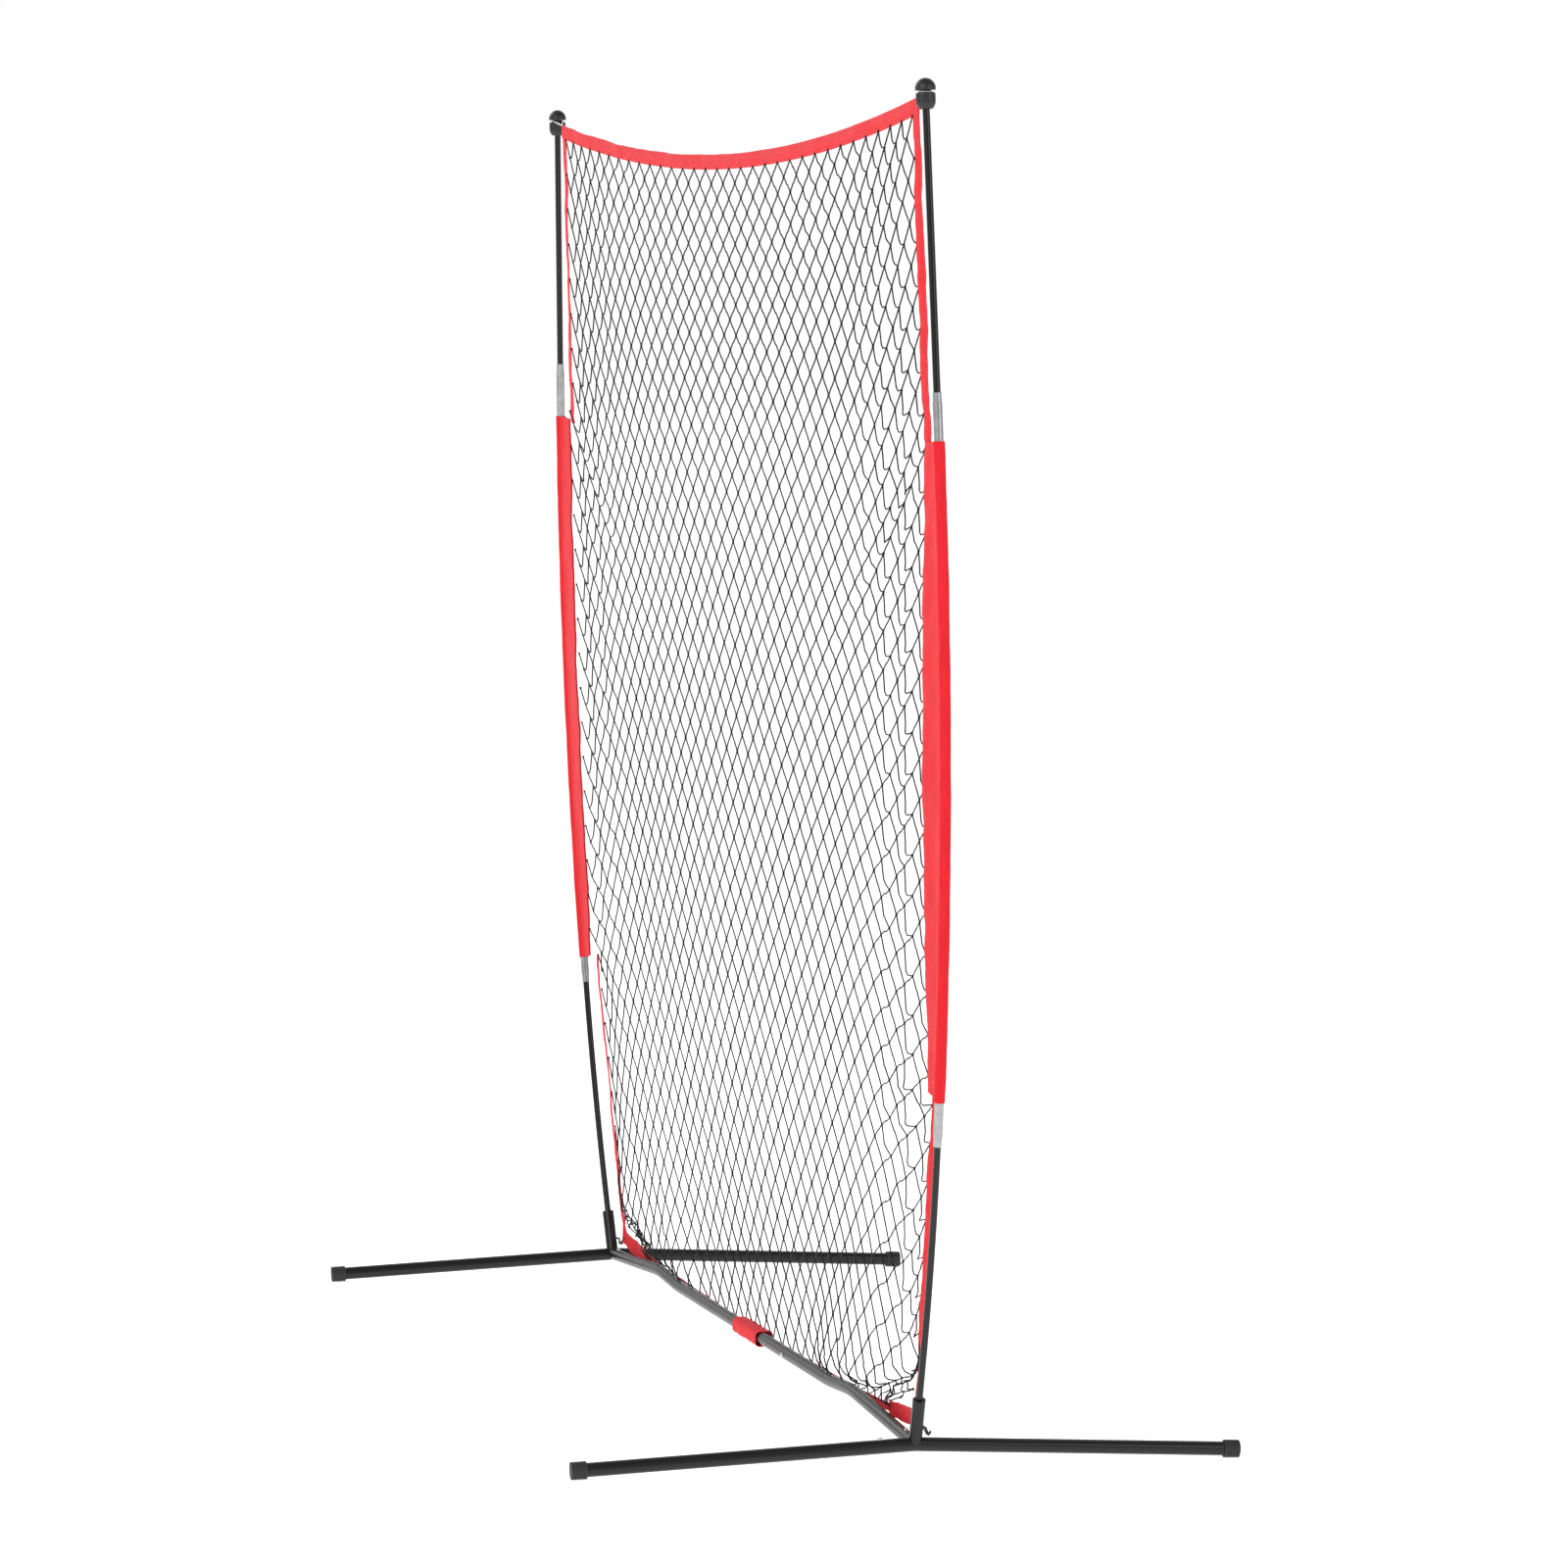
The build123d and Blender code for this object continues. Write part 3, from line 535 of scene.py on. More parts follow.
def clothStrip(name, cloth, place, values, flat, rows, replaced):
    # place turns shares across and along (0 to 1) into points; flat is the cut size in metres
    cells = values["cells"]
    finish = clothFinish(f"{cloth}Cloth", rows)
    bpy.ops.mesh.primitive_grid_add(x_subdivisions=cells[0], y_subdivisions=cells[1], size=2)
    strip = bpy.context.object
    strip.name = strip.data.name = name
    mesh = strip.data
    points = np.zeros(len(mesh.vertices) * 3)
    mesh.vertices.foreach_get("co", points)
    points = points.reshape(-1, 3)
    shares = (points[:, :2] + 1) / 2
    placed = place(shares[:, 0], shares[:, 1])
    mesh.vertices.foreach_set("co", placed.astype(np.float32).ravel())
    corners = np.zeros(len(mesh.loops), np.int32)
    mesh.loops.foreach_get("vertex_index", corners)
    uv = shares[corners] * np.array(flat)
    mesh.uv_layers[0].data.foreach_set("uv", uv.astype(np.float32).ravel())
    mesh.update()
    bpy.ops.object.mode_set(mode="EDIT")
    bpy.ops.mesh.select_all(action="SELECT")
    bpy.ops.mesh.normals_make_consistent(inside=False)
    bpy.ops.object.mode_set(mode="OBJECT")
    wall = strip.modifiers.new("wall", "SOLIDIFY")
    wall.thickness = values["wall"]
    wall.offset = 0
    bpy.ops.object.modifier_apply(modifier="wall")
    bpy.ops.object.shade_smooth_by_angle(angle=radians(50))
    mesh.materials.clear()
    mesh.materials.append(finish.material)
    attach(strip, "frame")
    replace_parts(strip, replaced)


# top hem

topBand = {
    "cells": (10, 240), "wall": 0.0016, "belly": 0.0011, "flutter": 0.0022,
    "slack": 1.02,  # length of the cloth over its straight reach
    "rows": (0.003, 0.008),  # stitched rows, from the edges
}


def topHemLine():
    points = cadPoints("top_hem")
    low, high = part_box("top_hem")
    shape = np.polyfit(points[:, 0], points[:, 2], 4)
    back = np.polyfit(points[:, 2], points[:, 1], 1)
    half = np.polyval(shape, 0) - low.z
    return shape, back, high.x, half


def addTopHem():
    shape, back, reach, half = topHemLine()

    def place(across, along):
        x = (along * 2 - 1) * reach
        slope = np.polyval(np.polyder(shape), x)
        side = (across * 2 - 1) * half
        run = 1 / np.sqrt(1 + slope**2)
        edge = ripple(x, side, 4, 4, 0.34) * topBand["flutter"]
        z = np.polyval(shape, x) + side * run + edge * 0.35 * across
        puff = topBand["belly"] * np.sqrt(np.clip(1 - (across * 2 - 1) ** 2, 0, 1))
        y = np.polyval(back, z) + edge * (0.3 + across) - puff
        return np.stack([x - side * run * slope, y, z], axis=-1)

    flat = (2 * half, 2 * reach * topBand["slack"])
    near, far = topBand["rows"]
    rows = (near, flat[0] - near, flat[0] - far)
    clothStrip("topHem", "topHem", place, topBand, flat, rows, "top_hem")


addTopHem()
print("top hem hung")


# side hems, above and below the sleeves

sleeveShift = {"right": 0.012, "left": -0.012}      # along the pole, as the sleeves have slid

sideBand = {
    "cells": (8, 90), "wall": 0.0014,
    "twist": {"upper": (2, 9, 3), "lower": (8, 10, 2)},  # degrees at the top, middle and bottom
    "flutter": 0.0016,
    "tuck": 0.012,  # that the ends reach under the next piece
    "behind": 0.0022,  # that the tucked ends lie farther back
    "row": 0.003,  # stitched rows, from the edges
}


def addSideHem(end, part):
    side = ends[end]
    node = f"{end}_{part}_side_hem"
    topOut, topIn = farCorner(node, side * 0.3, 1), farCorner(node, -side * 0.3, 1)
    lowOut, lowIn = farCorner(node, side, -1), farCorner(node, -side, -1)
    if part == "lower":
        lowOut, lowIn = farCorner(node, side * 0.2, -1), farCorner(node, -side, -1)
    width = np.linalg.norm(topOut - topIn)
    upward = (topIn - lowIn) / np.linalg.norm(topIn - lowIn)
    tuck, shift = sideBand["tuck"], sleeveShift[end]
    rise = (tuck, tuck - shift) if part == "upper" else (tuck + shift, tuck / 2)
    topIn, topOut = topIn + upward * rise[0], topOut + upward * rise[0]
    lowIn, lowOut = lowIn - upward * rise[1], lowOut - upward * rise[1]
    length = np.linalg.norm(topOut - lowOut)

    def place(across, along):
        share = along[:, None]
        inner = lowIn * (1 - share) + topIn * share
        outer = lowOut * (1 - share) + topOut * share
        middle = (inner + outer) / 2
        reach = (across - 0.5) * width
        turn = np.radians(np.interp(along, (0, 0.5, 1), sideBand["twist"][part][::-1]))
        fold = ripple(along * length, reach, 11 + side + ord(part[0]), 5, 0.22) * sideBand["flutter"]
        middle[:, 0] += side * reach * np.cos(turn) + side * fold * 0.4
        fromEnd = np.minimum(along, 1 - along) * length
        tucked = np.clip(1 - fromEnd / tuck, 0, 1)
        middle[:, 1] += reach * np.sin(turn) + fold + sideBand["behind"] * tucked
        return middle

    flat = (width, length)
    rows = (sideBand["row"], width - sideBand["row"])
    name = f"{end}{part.title()}"
    clothStrip(f"{name}SideHem", f"{name}Hem", place, sideBand, flat, rows, node)


for end in ends:
    for part in ("upper", "lower"):
        addSideHem(end, part)
print("side hems hung")


# pole sleeves

sleeveCloth = {
    "cells": (34, 130), "wall": 0.0009,
    "pocket": 0.0086,  # radius of the pocket round the pole
    "mouth": 38,  # degrees from the web to where the pocket starts
    "faceShare": 0.3,  # of the profile, for each face of the web
    "cut": 0.085,  # width of each face as cut
    "apart": 0.0011,  # half the gap between the web's two faces
    "bow": 0.006,  # inner edge stands this far to the front at mid height
    "pucker": 0.0016, "scallop": 0.00264,
    "pitch": 0.058,  # between the net's ties
    "rows": (0.003, 0.006),  # stitched rows, from the edges and from the pocket
}


def addSleeve(end):
    side = ends[end]
    node = f"{end}_sleeve"
    low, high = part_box(node)
    topIn, lowIn = farCorner(node, -side, 0.6), farCorner(node, -side, -0.6)
    line = poleLines[end]
    bottom, top = low.z + 0.003 + sleeveShift[end], high.z - 0.001 + sleeveShift[end]
    pocket, faceShare = sleeveCloth["pocket"], sleeveCloth["faceShare"]
    start = radians(sleeveCloth["mouth"])

    def place(across, along):
        z = bottom + (top - bottom) * along
        centre = line.at(z)
        slope = line.lean(z)
        run = 1 / np.sqrt(1 + slope**2)
        inward = np.stack([-side * run, 0 * z, side * slope * run], axis=-1)
        share = np.clip((z - lowIn[2]) / (topIn[2] - lowIn[2]), 0, 1)
        innerX = lowIn[0] * (1 - share) + topIn[0] * share
        web = np.abs(centre[:, 0] - innerX) / run
        web = web - sleeveCloth["scallop"] * np.abs(np.sin(pi * z / sleeveCloth["pitch"]))
        # the profile runs down the front face of the web, round the pole and back along the back face
        front, rear = across < faceShare, across > 1 - faceShare
        onFace = np.where(front, across / faceShare, (1 - across) / faceShare)
        turned = np.clip((across - faceShare) / (1 - 2 * faceShare), 0, 1)
        angle = start + turned * (2 * pi - 2 * start)
        radius = pocket * (1 + 0.05 * ripple(z, angle * pocket, 31 + side, 4, 0.18))
        ringX, ringY = radius * np.cos(angle), -radius * np.sin(angle)
        neck = np.clip(onFace, 0, 1) ** 6
        faceX = web + (pocket * cos(start) - web) * onFace
        gap = sleeveCloth["apart"] * (1 - neck) + pocket * sin(start) * neck
        x = np.where(front | rear, faceX, ringX)
        y = np.where(front, -gap, np.where(rear, gap, ringY))
        wrinkle = ripple(z, x * 1.6, 17 + side, 6, 0.26, 1.6) * sleeveCloth["pucker"]
        loose = np.clip((x - pocket) / 0.03, 0, 1)
        bow = sleeveCloth["bow"] * np.sin(pi * share) * np.clip(x / 0.08, 0, 1)
        y = y + wrinkle * loose - bow
        placed = centre + inward * x[:, None]
        placed[:, 1] += y
        return placed

    height = top - bottom
    width = 2 * sleeveCloth["cut"] + 2 * pi * pocket * 0.8
    flat = (width, height)
    edge, past = sleeveCloth["rows"]
    rows = (edge, faceShare * width - past, (1 - faceShare) * width + past, width - edge)
    name, pole = f"{end}Sleeve", f"{end}_middle_pole"
    clothStrip(name, name, place, sleeveCloth, flat, rows, node)


for end in ends:
    addSleeve(end)
print("sleeves fitted")


# tabs at the bottom corners

cornerTab = {
    "cells": (16, 60), "wall": 0.0022, "ripple": 0.0008, "lean": 0.003,
    "peakFrom": 0.84,  # share of the length where the pointed end starts
    "peakRun": 0.11, "sag": 0.0025,
    "cut": 0.68,  # width as cut, over the height of the pointed end
    "row": 0.003,  # stitched rows, from the edges
}


def addCornerTab(end):
    side = ends[end]
    node = f"{end}_corner_tab"
    points = cadPoints(node)
    low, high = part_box(node)
    middle = (low.y + high.y) / 2
    outer, inner = (high.x, low.x) if side > 0 else (low.x, high.x)
    foot = points[np.abs(points[:, 0] - outer) < 0.0005]
    root = points[np.abs(points[:, 0] - inner) < 0.0005]
    shoulder = foot[:, 2].min() + root[:, 2].max() - root[:, 2].min()

    def place(across, along):
        x = inner + (outer - inner) * along
        under = root[:, 2].min() + (foot[:, 2].min() - root[:, 2].min()) * along
        over = root[:, 2].max() + (shoulder - root[:, 2].max()) * along
        peak = np.clip((along - cornerTab["peakFrom"]) / cornerTab["peakRun"], 0, 1) ** 1.3
        over = over + (foot[:, 2].max() - over) * peak
        under = under - cornerTab["sag"] * np.sin(pi * along) + 0.001 * np.sin(9 * along)
        fold = ripple(x, across * 0.03, 51 + side, 4, 0.09) * cornerTab["ripple"]
        bulge = cornerTab["lean"] * np.sin(pi * across) * np.sin(pi * along) ** 0.5
        return np.stack([x, middle + fold + bulge, under + (over - under) * across + fold], axis=-1)

    flat = (float(foot[:, 2].max() - foot[:, 2].min()) * cornerTab["cut"], abs(outer - inner))
    rows = (cornerTab["row"], flat[0] / 2, flat[0] - cornerTab["row"])
    name, cord = f"{end}CornerTab", f"{end}_corner_loop"
    clothStrip(name, f"{end}Tab", place, cornerTab, flat, rows, node)


for end in ends:
    addCornerTab(end)
print("corner tabs sewn")


# bottom hem behind the crossbar

bottomBand = {"cells": (6, 200), "wall": 0.0015, "flutter": 0.0006}


def bottomHemLine():
    # Centre line of the bottom hem, from the left corner to the right one
    points = cadPoints("bottom_hem")
    low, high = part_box("bottom_hem")
    places = np.unique(np.round(points[:, 0], 4))
    heights = [points[np.abs(points[:, 0] - x) < 0.0005][:, 2].mean() for x in places]
    return places, np.array(heights), (low.y + high.y) / 2


def addBottomHem():
    places, heights, y = bottomHemLine()
    points = cadPoints("bottom_hem")
    middle = points[np.abs(points[:, 0] - places[len(places) // 2]) < 0.0005]
    half = (middle[:, 2].max() - middle[:, 2].min()) / 2
    reach = places.max()

    def place(across, along):
        x = (along * 2 - 1) * reach
        z = np.interp(x, places, heights) + (across * 2 - 1) * half
        wobble = ripple(x, z, 21, 4, 0.2) * bottomBand["flutter"]
        return np.stack([x, y + wobble, z + wobble * 0.5], axis=-1)

    flat = (2 * half, 2 * reach)
    bar, node = ["crossbar_middle"], "bottom_hem"
    clothStrip("bottomHem", "bottomHem", place, bottomBand, flat, (half,), node)


addBottomHem()
print("bottom hem fitted")


# strap round the middle of the crossbar

middleStrap = {
    "cells": (72, 26), "wall": 0.0015, "overlap": 0.012,
    "round": 0.0075,  # radius at the corners of its section
    "lap": 0.14,  # how far the covered end is drawn in
    "puff": 0.0006,
    "row": 0.004,  # stitched rows, from the ends
}


def addStrap():
    low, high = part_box("centre_strap")
    wall = middleStrap["wall"]
    halfY, halfZ = (high.y - low.y - wall) / 2, (high.z - low.z - wall) / 2
    centre = (low + high) / 2
    corner = middleStrap["round"]
    outline = []
    for turn in range(4):
        start = turn * pi / 2
        midY = (halfY - corner) * (1 if turn in (0, 3) else -1)
        midZ = (halfZ - corner) * (1 if turn in (0, 1) else -1)
        for step in range(9):
            angle = start + step / 8 * pi / 2
            outline.append((midY + corner * cos(angle), midZ + corner * sin(angle)))
    outline = np.array(outline + outline[:6])
    travel = np.r_[0, np.cumsum(np.linalg.norm(np.diff(outline, axis=0), axis=1))]

    def place(across, along):
        share = across * travel[-1]
        y = np.interp(share, travel, outline[:, 0])
        z = np.interp(share, travel, outline[:, 1])
        # the end lies on the start where they overlap
        start = np.clip(1 - share / middleStrap["overlap"] / 1.5, 0, 1)
        drawn = 1 - middleStrap["lap"] * start
        y, z = y * drawn, z * drawn
        x = low.x + wall + (high.x - low.x - 2 * wall) * along
        edge = np.abs(along * 2 - 1) ** 8
        soft = ripple(x, share, 41, 4, 0.08) * middleStrap["puff"]
        return np.stack([x, centre.y + y * (1 + 0.02 * edge) + soft, centre.z + z + soft], axis=-1)

    flat = (float(travel[-1]), high.x - low.x)
    rows = (middleStrap["row"], travel[-1] - middleStrap["row"])
    bar, node = ["crossbar_middle"], "centre_strap"
    clothStrip("middleStrap", "strap", place, middleStrap, flat, rows, node)


addStrap()
print("strap closed")


# cord loops: elastics at the knobs, and black cords at the corner hooks

cordLoop = {
    "elastic": 0.00145,  # radius, as the corner's is
    "corner": 0.0012, "points": 48,
    "pinch": 0.55,  # that an elastic narrows towards the hem
    "drop": 0.008,
    "hookRound": 0.0031,  # half the width of the corner loop at the hook
    "weave": 0.0014,
    "through": 0.0045,  # that it swings to pass through the tab
}


def curvePiece(name, data, finish):
    piece = bpy.data.objects.new(name, data)
    link(piece)
    bpy.ops.object.select_all(action="DESELECT")
    piece.select_set(True)
    bpy.context.view_layer.objects.active = piece
    bpy.ops.object.convert(target="MESH")
    piece = bpy.context.object
    piece.data.materials.clear()
    piece.data.materials.append(finish.material)
    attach(piece, "frame")
    return piece


def addLoop(name, line, radius, finish, replaced):
    # line is the loop's centre line
    data = bpy.data.curves.new(name, "CURVE")
    data.dimensions = "3D"
    spline = data.splines.new("NURBS")
    spline.points.add(len(line) - 1)
    for point, place in zip(spline.points, line):
        point.co = (*place, 1)
    spline.use_cyclic_u = True
    spline.order_u = 4
    spline.resolution_u = 3
    data.bevel_depth = radius
    data.bevel_resolution = 3
    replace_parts(curvePiece(name, data, finish), replaced)


def addElastic(end, finish):
    side = ends[end]
    low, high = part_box(f"{end}_elastic")
    middle = (low + high) / 2
    thick = cordLoop["elastic"]
    radius = (high.y - low.y) / 2 - thick
    line = poleLines[end]
    neck = line.at(np.array([middle.z + 0.0005]))[0]
    inner = low.x if side > 0 else high.x
    reach = abs(inner - neck[0]) - 2 * thick
    lean = float(line.lean(middle.z))
    places = []
    for turn in np.linspace(0, 2 * pi, cordLoop["points"], endpoint=False):
        x, y = radius * cos(turn), radius * sin(turn)
        pull = max(0, x / radius)
        x = x + pull**2 * (reach - radius)
        y = y * (1 - cordLoop["pinch"] * pull**1.5)
        drop = side * lean * x - cordLoop["drop"] * pull**2
        places.append((neck[0] - side * x, neck[1] + y, middle.z + drop))
    addLoop(f"{end}Elastic", places, thick, finish, f"{end}_elastic")


def addCornerCord(end, finish):
    # Round the hook at one end and through the corner tab at the other
    side = ends[end]
    low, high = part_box(f"{end}_corner_loop")
    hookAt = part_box(f"{end}_corner_hook")
    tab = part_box(f"{end}_corner_tab")
    thick = cordLoop["corner"]
    start = Vector(((hookAt[0].x + hookAt[1].x) / 2, (low.y + high.y) / 2, hookAt[0].z + 0.0017))
    stop = Vector((low.x if side > 0 else high.x, tab[0].y + 0.001, high.z - 0.004))
    run = stop - start
    across = Vector((0, 1, 0)).cross(run).normalized()
    places = []
    for turn in np.linspace(0, 2 * pi, cordLoop["points"], endpoint=False):
        share = (1 - cos(turn)) / 2
        swell = cordLoop["hookRound"] * (1 - share**3 * 0.4)
        weave = cordLoop["weave"] * sin(3 * turn) * share
        place = start + run * share - run.normalized() * cordLoop["hookRound"] * (1 - share)
        place += across * (swell * sin(turn) + weave)
        place.y += cordLoop["through"] * (share > 0.82) * sin(turn)
        places.append(tuple(place))
    addLoop(f"{end}CornerCord", places, thick, finish, f"{end}_corner_loop")


braid = braidFinish("elasticBraid")
blackBraid = braidFinish("cornerBraid")
for end in ends:
    addElastic(end, braid)
    addCornerCord(end, blackBraid)
print("cords looped")


# the net: knots settle first, then each bar hangs between its two knots

netMesh = {
    "across": 31,  # diamonds
    "down": 34,
    "bar": 0.0428,  # length between two knots
    "twine": 0.00125,  # radius
    "twist": 9,  # turns in a bar
    "topGather": 0.06,  # the knots crowd towards the corners by this share
    "lowGather": 0.2,
    "sewn": 0.7,  # height of the bottom ties on the hem, over half its width
    "settle": 2500,  # steps
    "quickSettle": 200,
    "jitter": 0.002,  # the knots' random start
    "damping": 0.985,
    "weight": 1.6e-5,  # fall in a step
    "edge": 0.62,  # the sides are looser from this share of the half width
    "loose": 0.42,
    "paired": 0.7,  # every third column is looser still by this share
    "beside": 0.018,  # least distance of two knots in a row
    "above": 0.016,  # and in a column
    "apartPull": 0.25,
    "core": 0.33,  # share of the width, each way, where diamonds keep their width
    "coreNarrows": 0.15,
    "stops": (0, 0.12, 0.45, 0.8, 1),  # from top to bottom
    "widths": (0.070, 0.067, 0.060, 0.060, 0.055),  # of a diamond, at the stops
    "widthPull": 0.08,
    "billow": 0.03,  # most that a knot leaves the net's plane
    "clear": 0.012,  # least height gained by a row of knots at the bottom
    "liftStep": 0.002,  # most that a low knot is lifted in a step
    "cuts": 4,  # straight pieces in a bar
    "fall": 0.9,  # how much a slack bar leaves its knots downwards
    "splay": 0.68,  # how far sideways a knot sends its twines, against 0.73 down
    "knot": 0.0024,
}


def between(shares, travel, points):
    return np.stack([np.interp(shares, travel, points[:, k]) for k in range(3)], axis=1)


def spaced(points, shares):
    points = np.array(points)
    travel = np.r_[0, np.cumsum(np.linalg.norm(np.diff(points, axis=0), axis=1))]
    shares = np.asarray(shares) * travel[-1]
    return between(shares, travel, points)


def unit(value):
    return value / (np.linalg.norm(value, axis=1)[:, None] + 1e-9)


class Net:
    def __init__(self, look):
        self.look = look
        self.columns = 2 * look["across"]
        self.rows = 2 * look["down"] + 1
        self.index = -np.ones((self.rows, self.columns + 1), int)
        grid = self.grid(self.rows)
        for knot, (row, column) in enumerate(grid):
            self.index[row, column] = knot
        self.row, self.column = np.array(grid).T
        self.u = self.column / self.columns
        self.v = self.row / (self.rows - 1)
        self.stretchToHems()

    def grid(self, rows):
        return [(row, column) for row in range(rows) for column in range(row % 2, self.columns + 1, 2)]

    def stretchToHems(self):
        shape, back, reach, half = topHemLine()
        edgeX = farCorner("right_upper_side_hem", -0.3, 1)[0]
        spread = np.linspace(-1, 1, self.look["across"] + 1)
        gather = self.look["topGather"]
        x = edgeX * (spread * (1 + gather) - gather * spread**5)
        z = np.polyval(shape, x) - half + 0.001
        top = np.stack([x, np.polyval(back, z) - 0.0012, z], axis=1)
        sides = [
            top[-1],
            farCorner("right_upper_side_hem", -1, -1),
            farCorner("right_sleeve", -1, 0.6),
            farCorner("right_sleeve", -1, -0.6),
            farCorner("right_lower_side_hem", -0.3, 1),
            farCorner("right_lower_side_hem", -1, -1),
        ]
        places, heights, y = bottomHemLine()
        lift = (heights.min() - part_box("bottom_hem")[0].z) * self.look["sewn"]
        bottom = [(px, y - 0.0008, pz + lift) for px, pz in zip(places, heights)]
        gather = self.look["lowGather"]
        bottom = spaced(bottom, (spread * (1 + gather) - gather * spread**5 + 1) / 2)
        self.hemLine = bottom[:, 0], bottom[:, 2]
        right = spaced([*sides, bottom[-1]], np.linspace(0, 1, self.rows))
        left = right * (-1, 1, 1)
        u, v = self.u[:, None], self.v[:, None]
        steps = np.linspace(0, 1, self.look["across"] + 1)
        topAt, lowAt = between(self.u, steps, top), between(self.u, steps, bottom)
        row, column = self.row, self.column
        across = (1 - u) * left[row] + u * right[row]
        corners = (1 - u) * ((1 - v) * top[0] + v * bottom[0]) + u * ((1 - v) * top[-1] + v * bottom[-1])
        self.knots = (1 - v) * topAt + v * lowAt + across - corners
        held = (row == 0) | (row == self.rows - 1) | (column == 0) | (column == self.columns)
        self.free = np.where(held, 0.0, 1.0)
        self.plane = self.knots[:, 1].copy()

    def inGroup(self, row, column, down, odd, other):
        if down == 1:
            return row % 2 == odd
        place = row if down else column
        return place // 2 % 2 == odd and row % 2 == other

    def pairs(self, down, across):
        # Pairs of knots so far apart, in groups where no knot comes twice
        groups = []
        for odd in (0, 1):
            for other in (0,) if down == 1 else (0, 1):
                first, second = [], []
                for row, column in self.grid(self.rows - down):
                    fits = 0 <= column + across <= self.columns
                    if fits and self.inGroup(row, column, down, odd, other):
                        first.append(self.index[row, column])
                        second.append(self.index[row + down, column + across])
                groups.append((np.array(first), np.array(second)))
        return groups

    def barLength(self, first, second):
        side = np.abs(self.u[first] + self.u[second] - 1)
        share = np.clip((side - self.look["edge"]) / (1 - self.look["edge"]), 0, 1)
        share = share**2 * (3 - 2 * share)
        height = (self.v[first] + self.v[second]) / 2
        inside = np.clip((height - 0.04) / 0.2, 0, 1) * np.clip((1.0 - height) / 0.06, 0, 1)
        # near the sides the bars that lead outward are slack, and every third column more so
        outward = (self.u[second] - self.u[first]) * (self.u[first] + self.u[second] - 1) > 0
        column = np.round((self.u[first] + self.u[second]) * self.columns / 2 - 0.5).astype(int)
        slack = self.look["loose"] * (1 + self.look["paired"] * (column % 3 - 1))
        return self.look["bar"] * (1 + np.where(outward, slack, 0.0) * share * inside)

    def pull(self, group, change):
        # change gives the share of their distance that two knots move together by
        first, second = group
        gap = self.knots[second] - self.knots[first]
        length = np.sqrt((gap**2).sum(axis=1)) + 1e-12
        freeFirst, freeSecond = self.free[first], self.free[second]
        both = np.maximum(freeFirst + freeSecond, 1)
        move = gap * (change(length) / length / both)[:, None]
        self.knots[first] += move * freeFirst[:, None]
        self.knots[second] -= move * freeSecond[:, None]

    def settle(self):
        look = self.look
        dice = np.random.default_rng(3)
        self.knots += dice.normal(0, look["jitter"], self.knots.shape) * self.free[:, None]
        bars = self.pairs(1, 1) + self.pairs(1, -1)
        lengths = [self.barLength(*group) for group in bars]
        keepApart = [(group, look["beside"]) for group in self.pairs(0, 2)]
        keepApart += [(group, look["above"]) for group in self.pairs(2, 0)]
        core = []
        for first, second in self.pairs(0, 2):
            middle = np.abs(self.u[first] + self.u[second] - 1) / 2
            height = self.v[first]
            inCore = (middle < look["core"] * (1 - look["coreNarrows"] * height)) & (height > 0.02)
            inCore &= height < 0.99
            first, second = first[inCore], second[inCore]
            core.append(((first, second), np.interp(height[inCore], look["stops"], look["widths"])))
        before = self.knots.copy()
        for step in range(look["settle"]):
            speed = (self.knots - before) * look["damping"]
            before = self.knots.copy()
            speed[:, 2] -= look["weight"]
            self.knots = self.knots + speed * self.free[:, None]
            for group, length in zip(bars, lengths):
                self.pull(group, lambda now, most=length: np.maximum(now - most, 0))
            if step % 2 == 0:
                for group, width in core:
                    self.pull(group, lambda now, aim=width: (now - aim) * look["widthPull"])
            if step % 4 == 0:
                for group, least in keepApart:
                    push = look["apartPull"]
                    self.pull(group, lambda now, least=least: np.minimum(now - least, 0) * push)
            away = np.clip(self.knots[:, 1] - self.plane, -look["billow"], look["billow"])
            self.knots[:, 1] = self.plane + away
            hem = np.interp(self.knots[:, 0], *self.hemLine)
            lowest = hem + look["clear"] * (1 - self.v) * self.rows
            lifted = np.minimum(lowest, self.knots[:, 2] + look["liftStep"])
            self.knots[:, 2] = np.maximum(self.knots[:, 2], lifted)

    def neighbour(self, down, across):
        found = np.arange(len(self.u))
        for row, column in self.grid(self.rows):
            nextRow, nextColumn = row + down, column + across
            if 0 <= nextRow < self.rows and 0 <= nextColumn <= self.columns:
                found[self.index[row, column]] = self.index[nextRow, nextColumn]
        return found

    def hangBars(self):
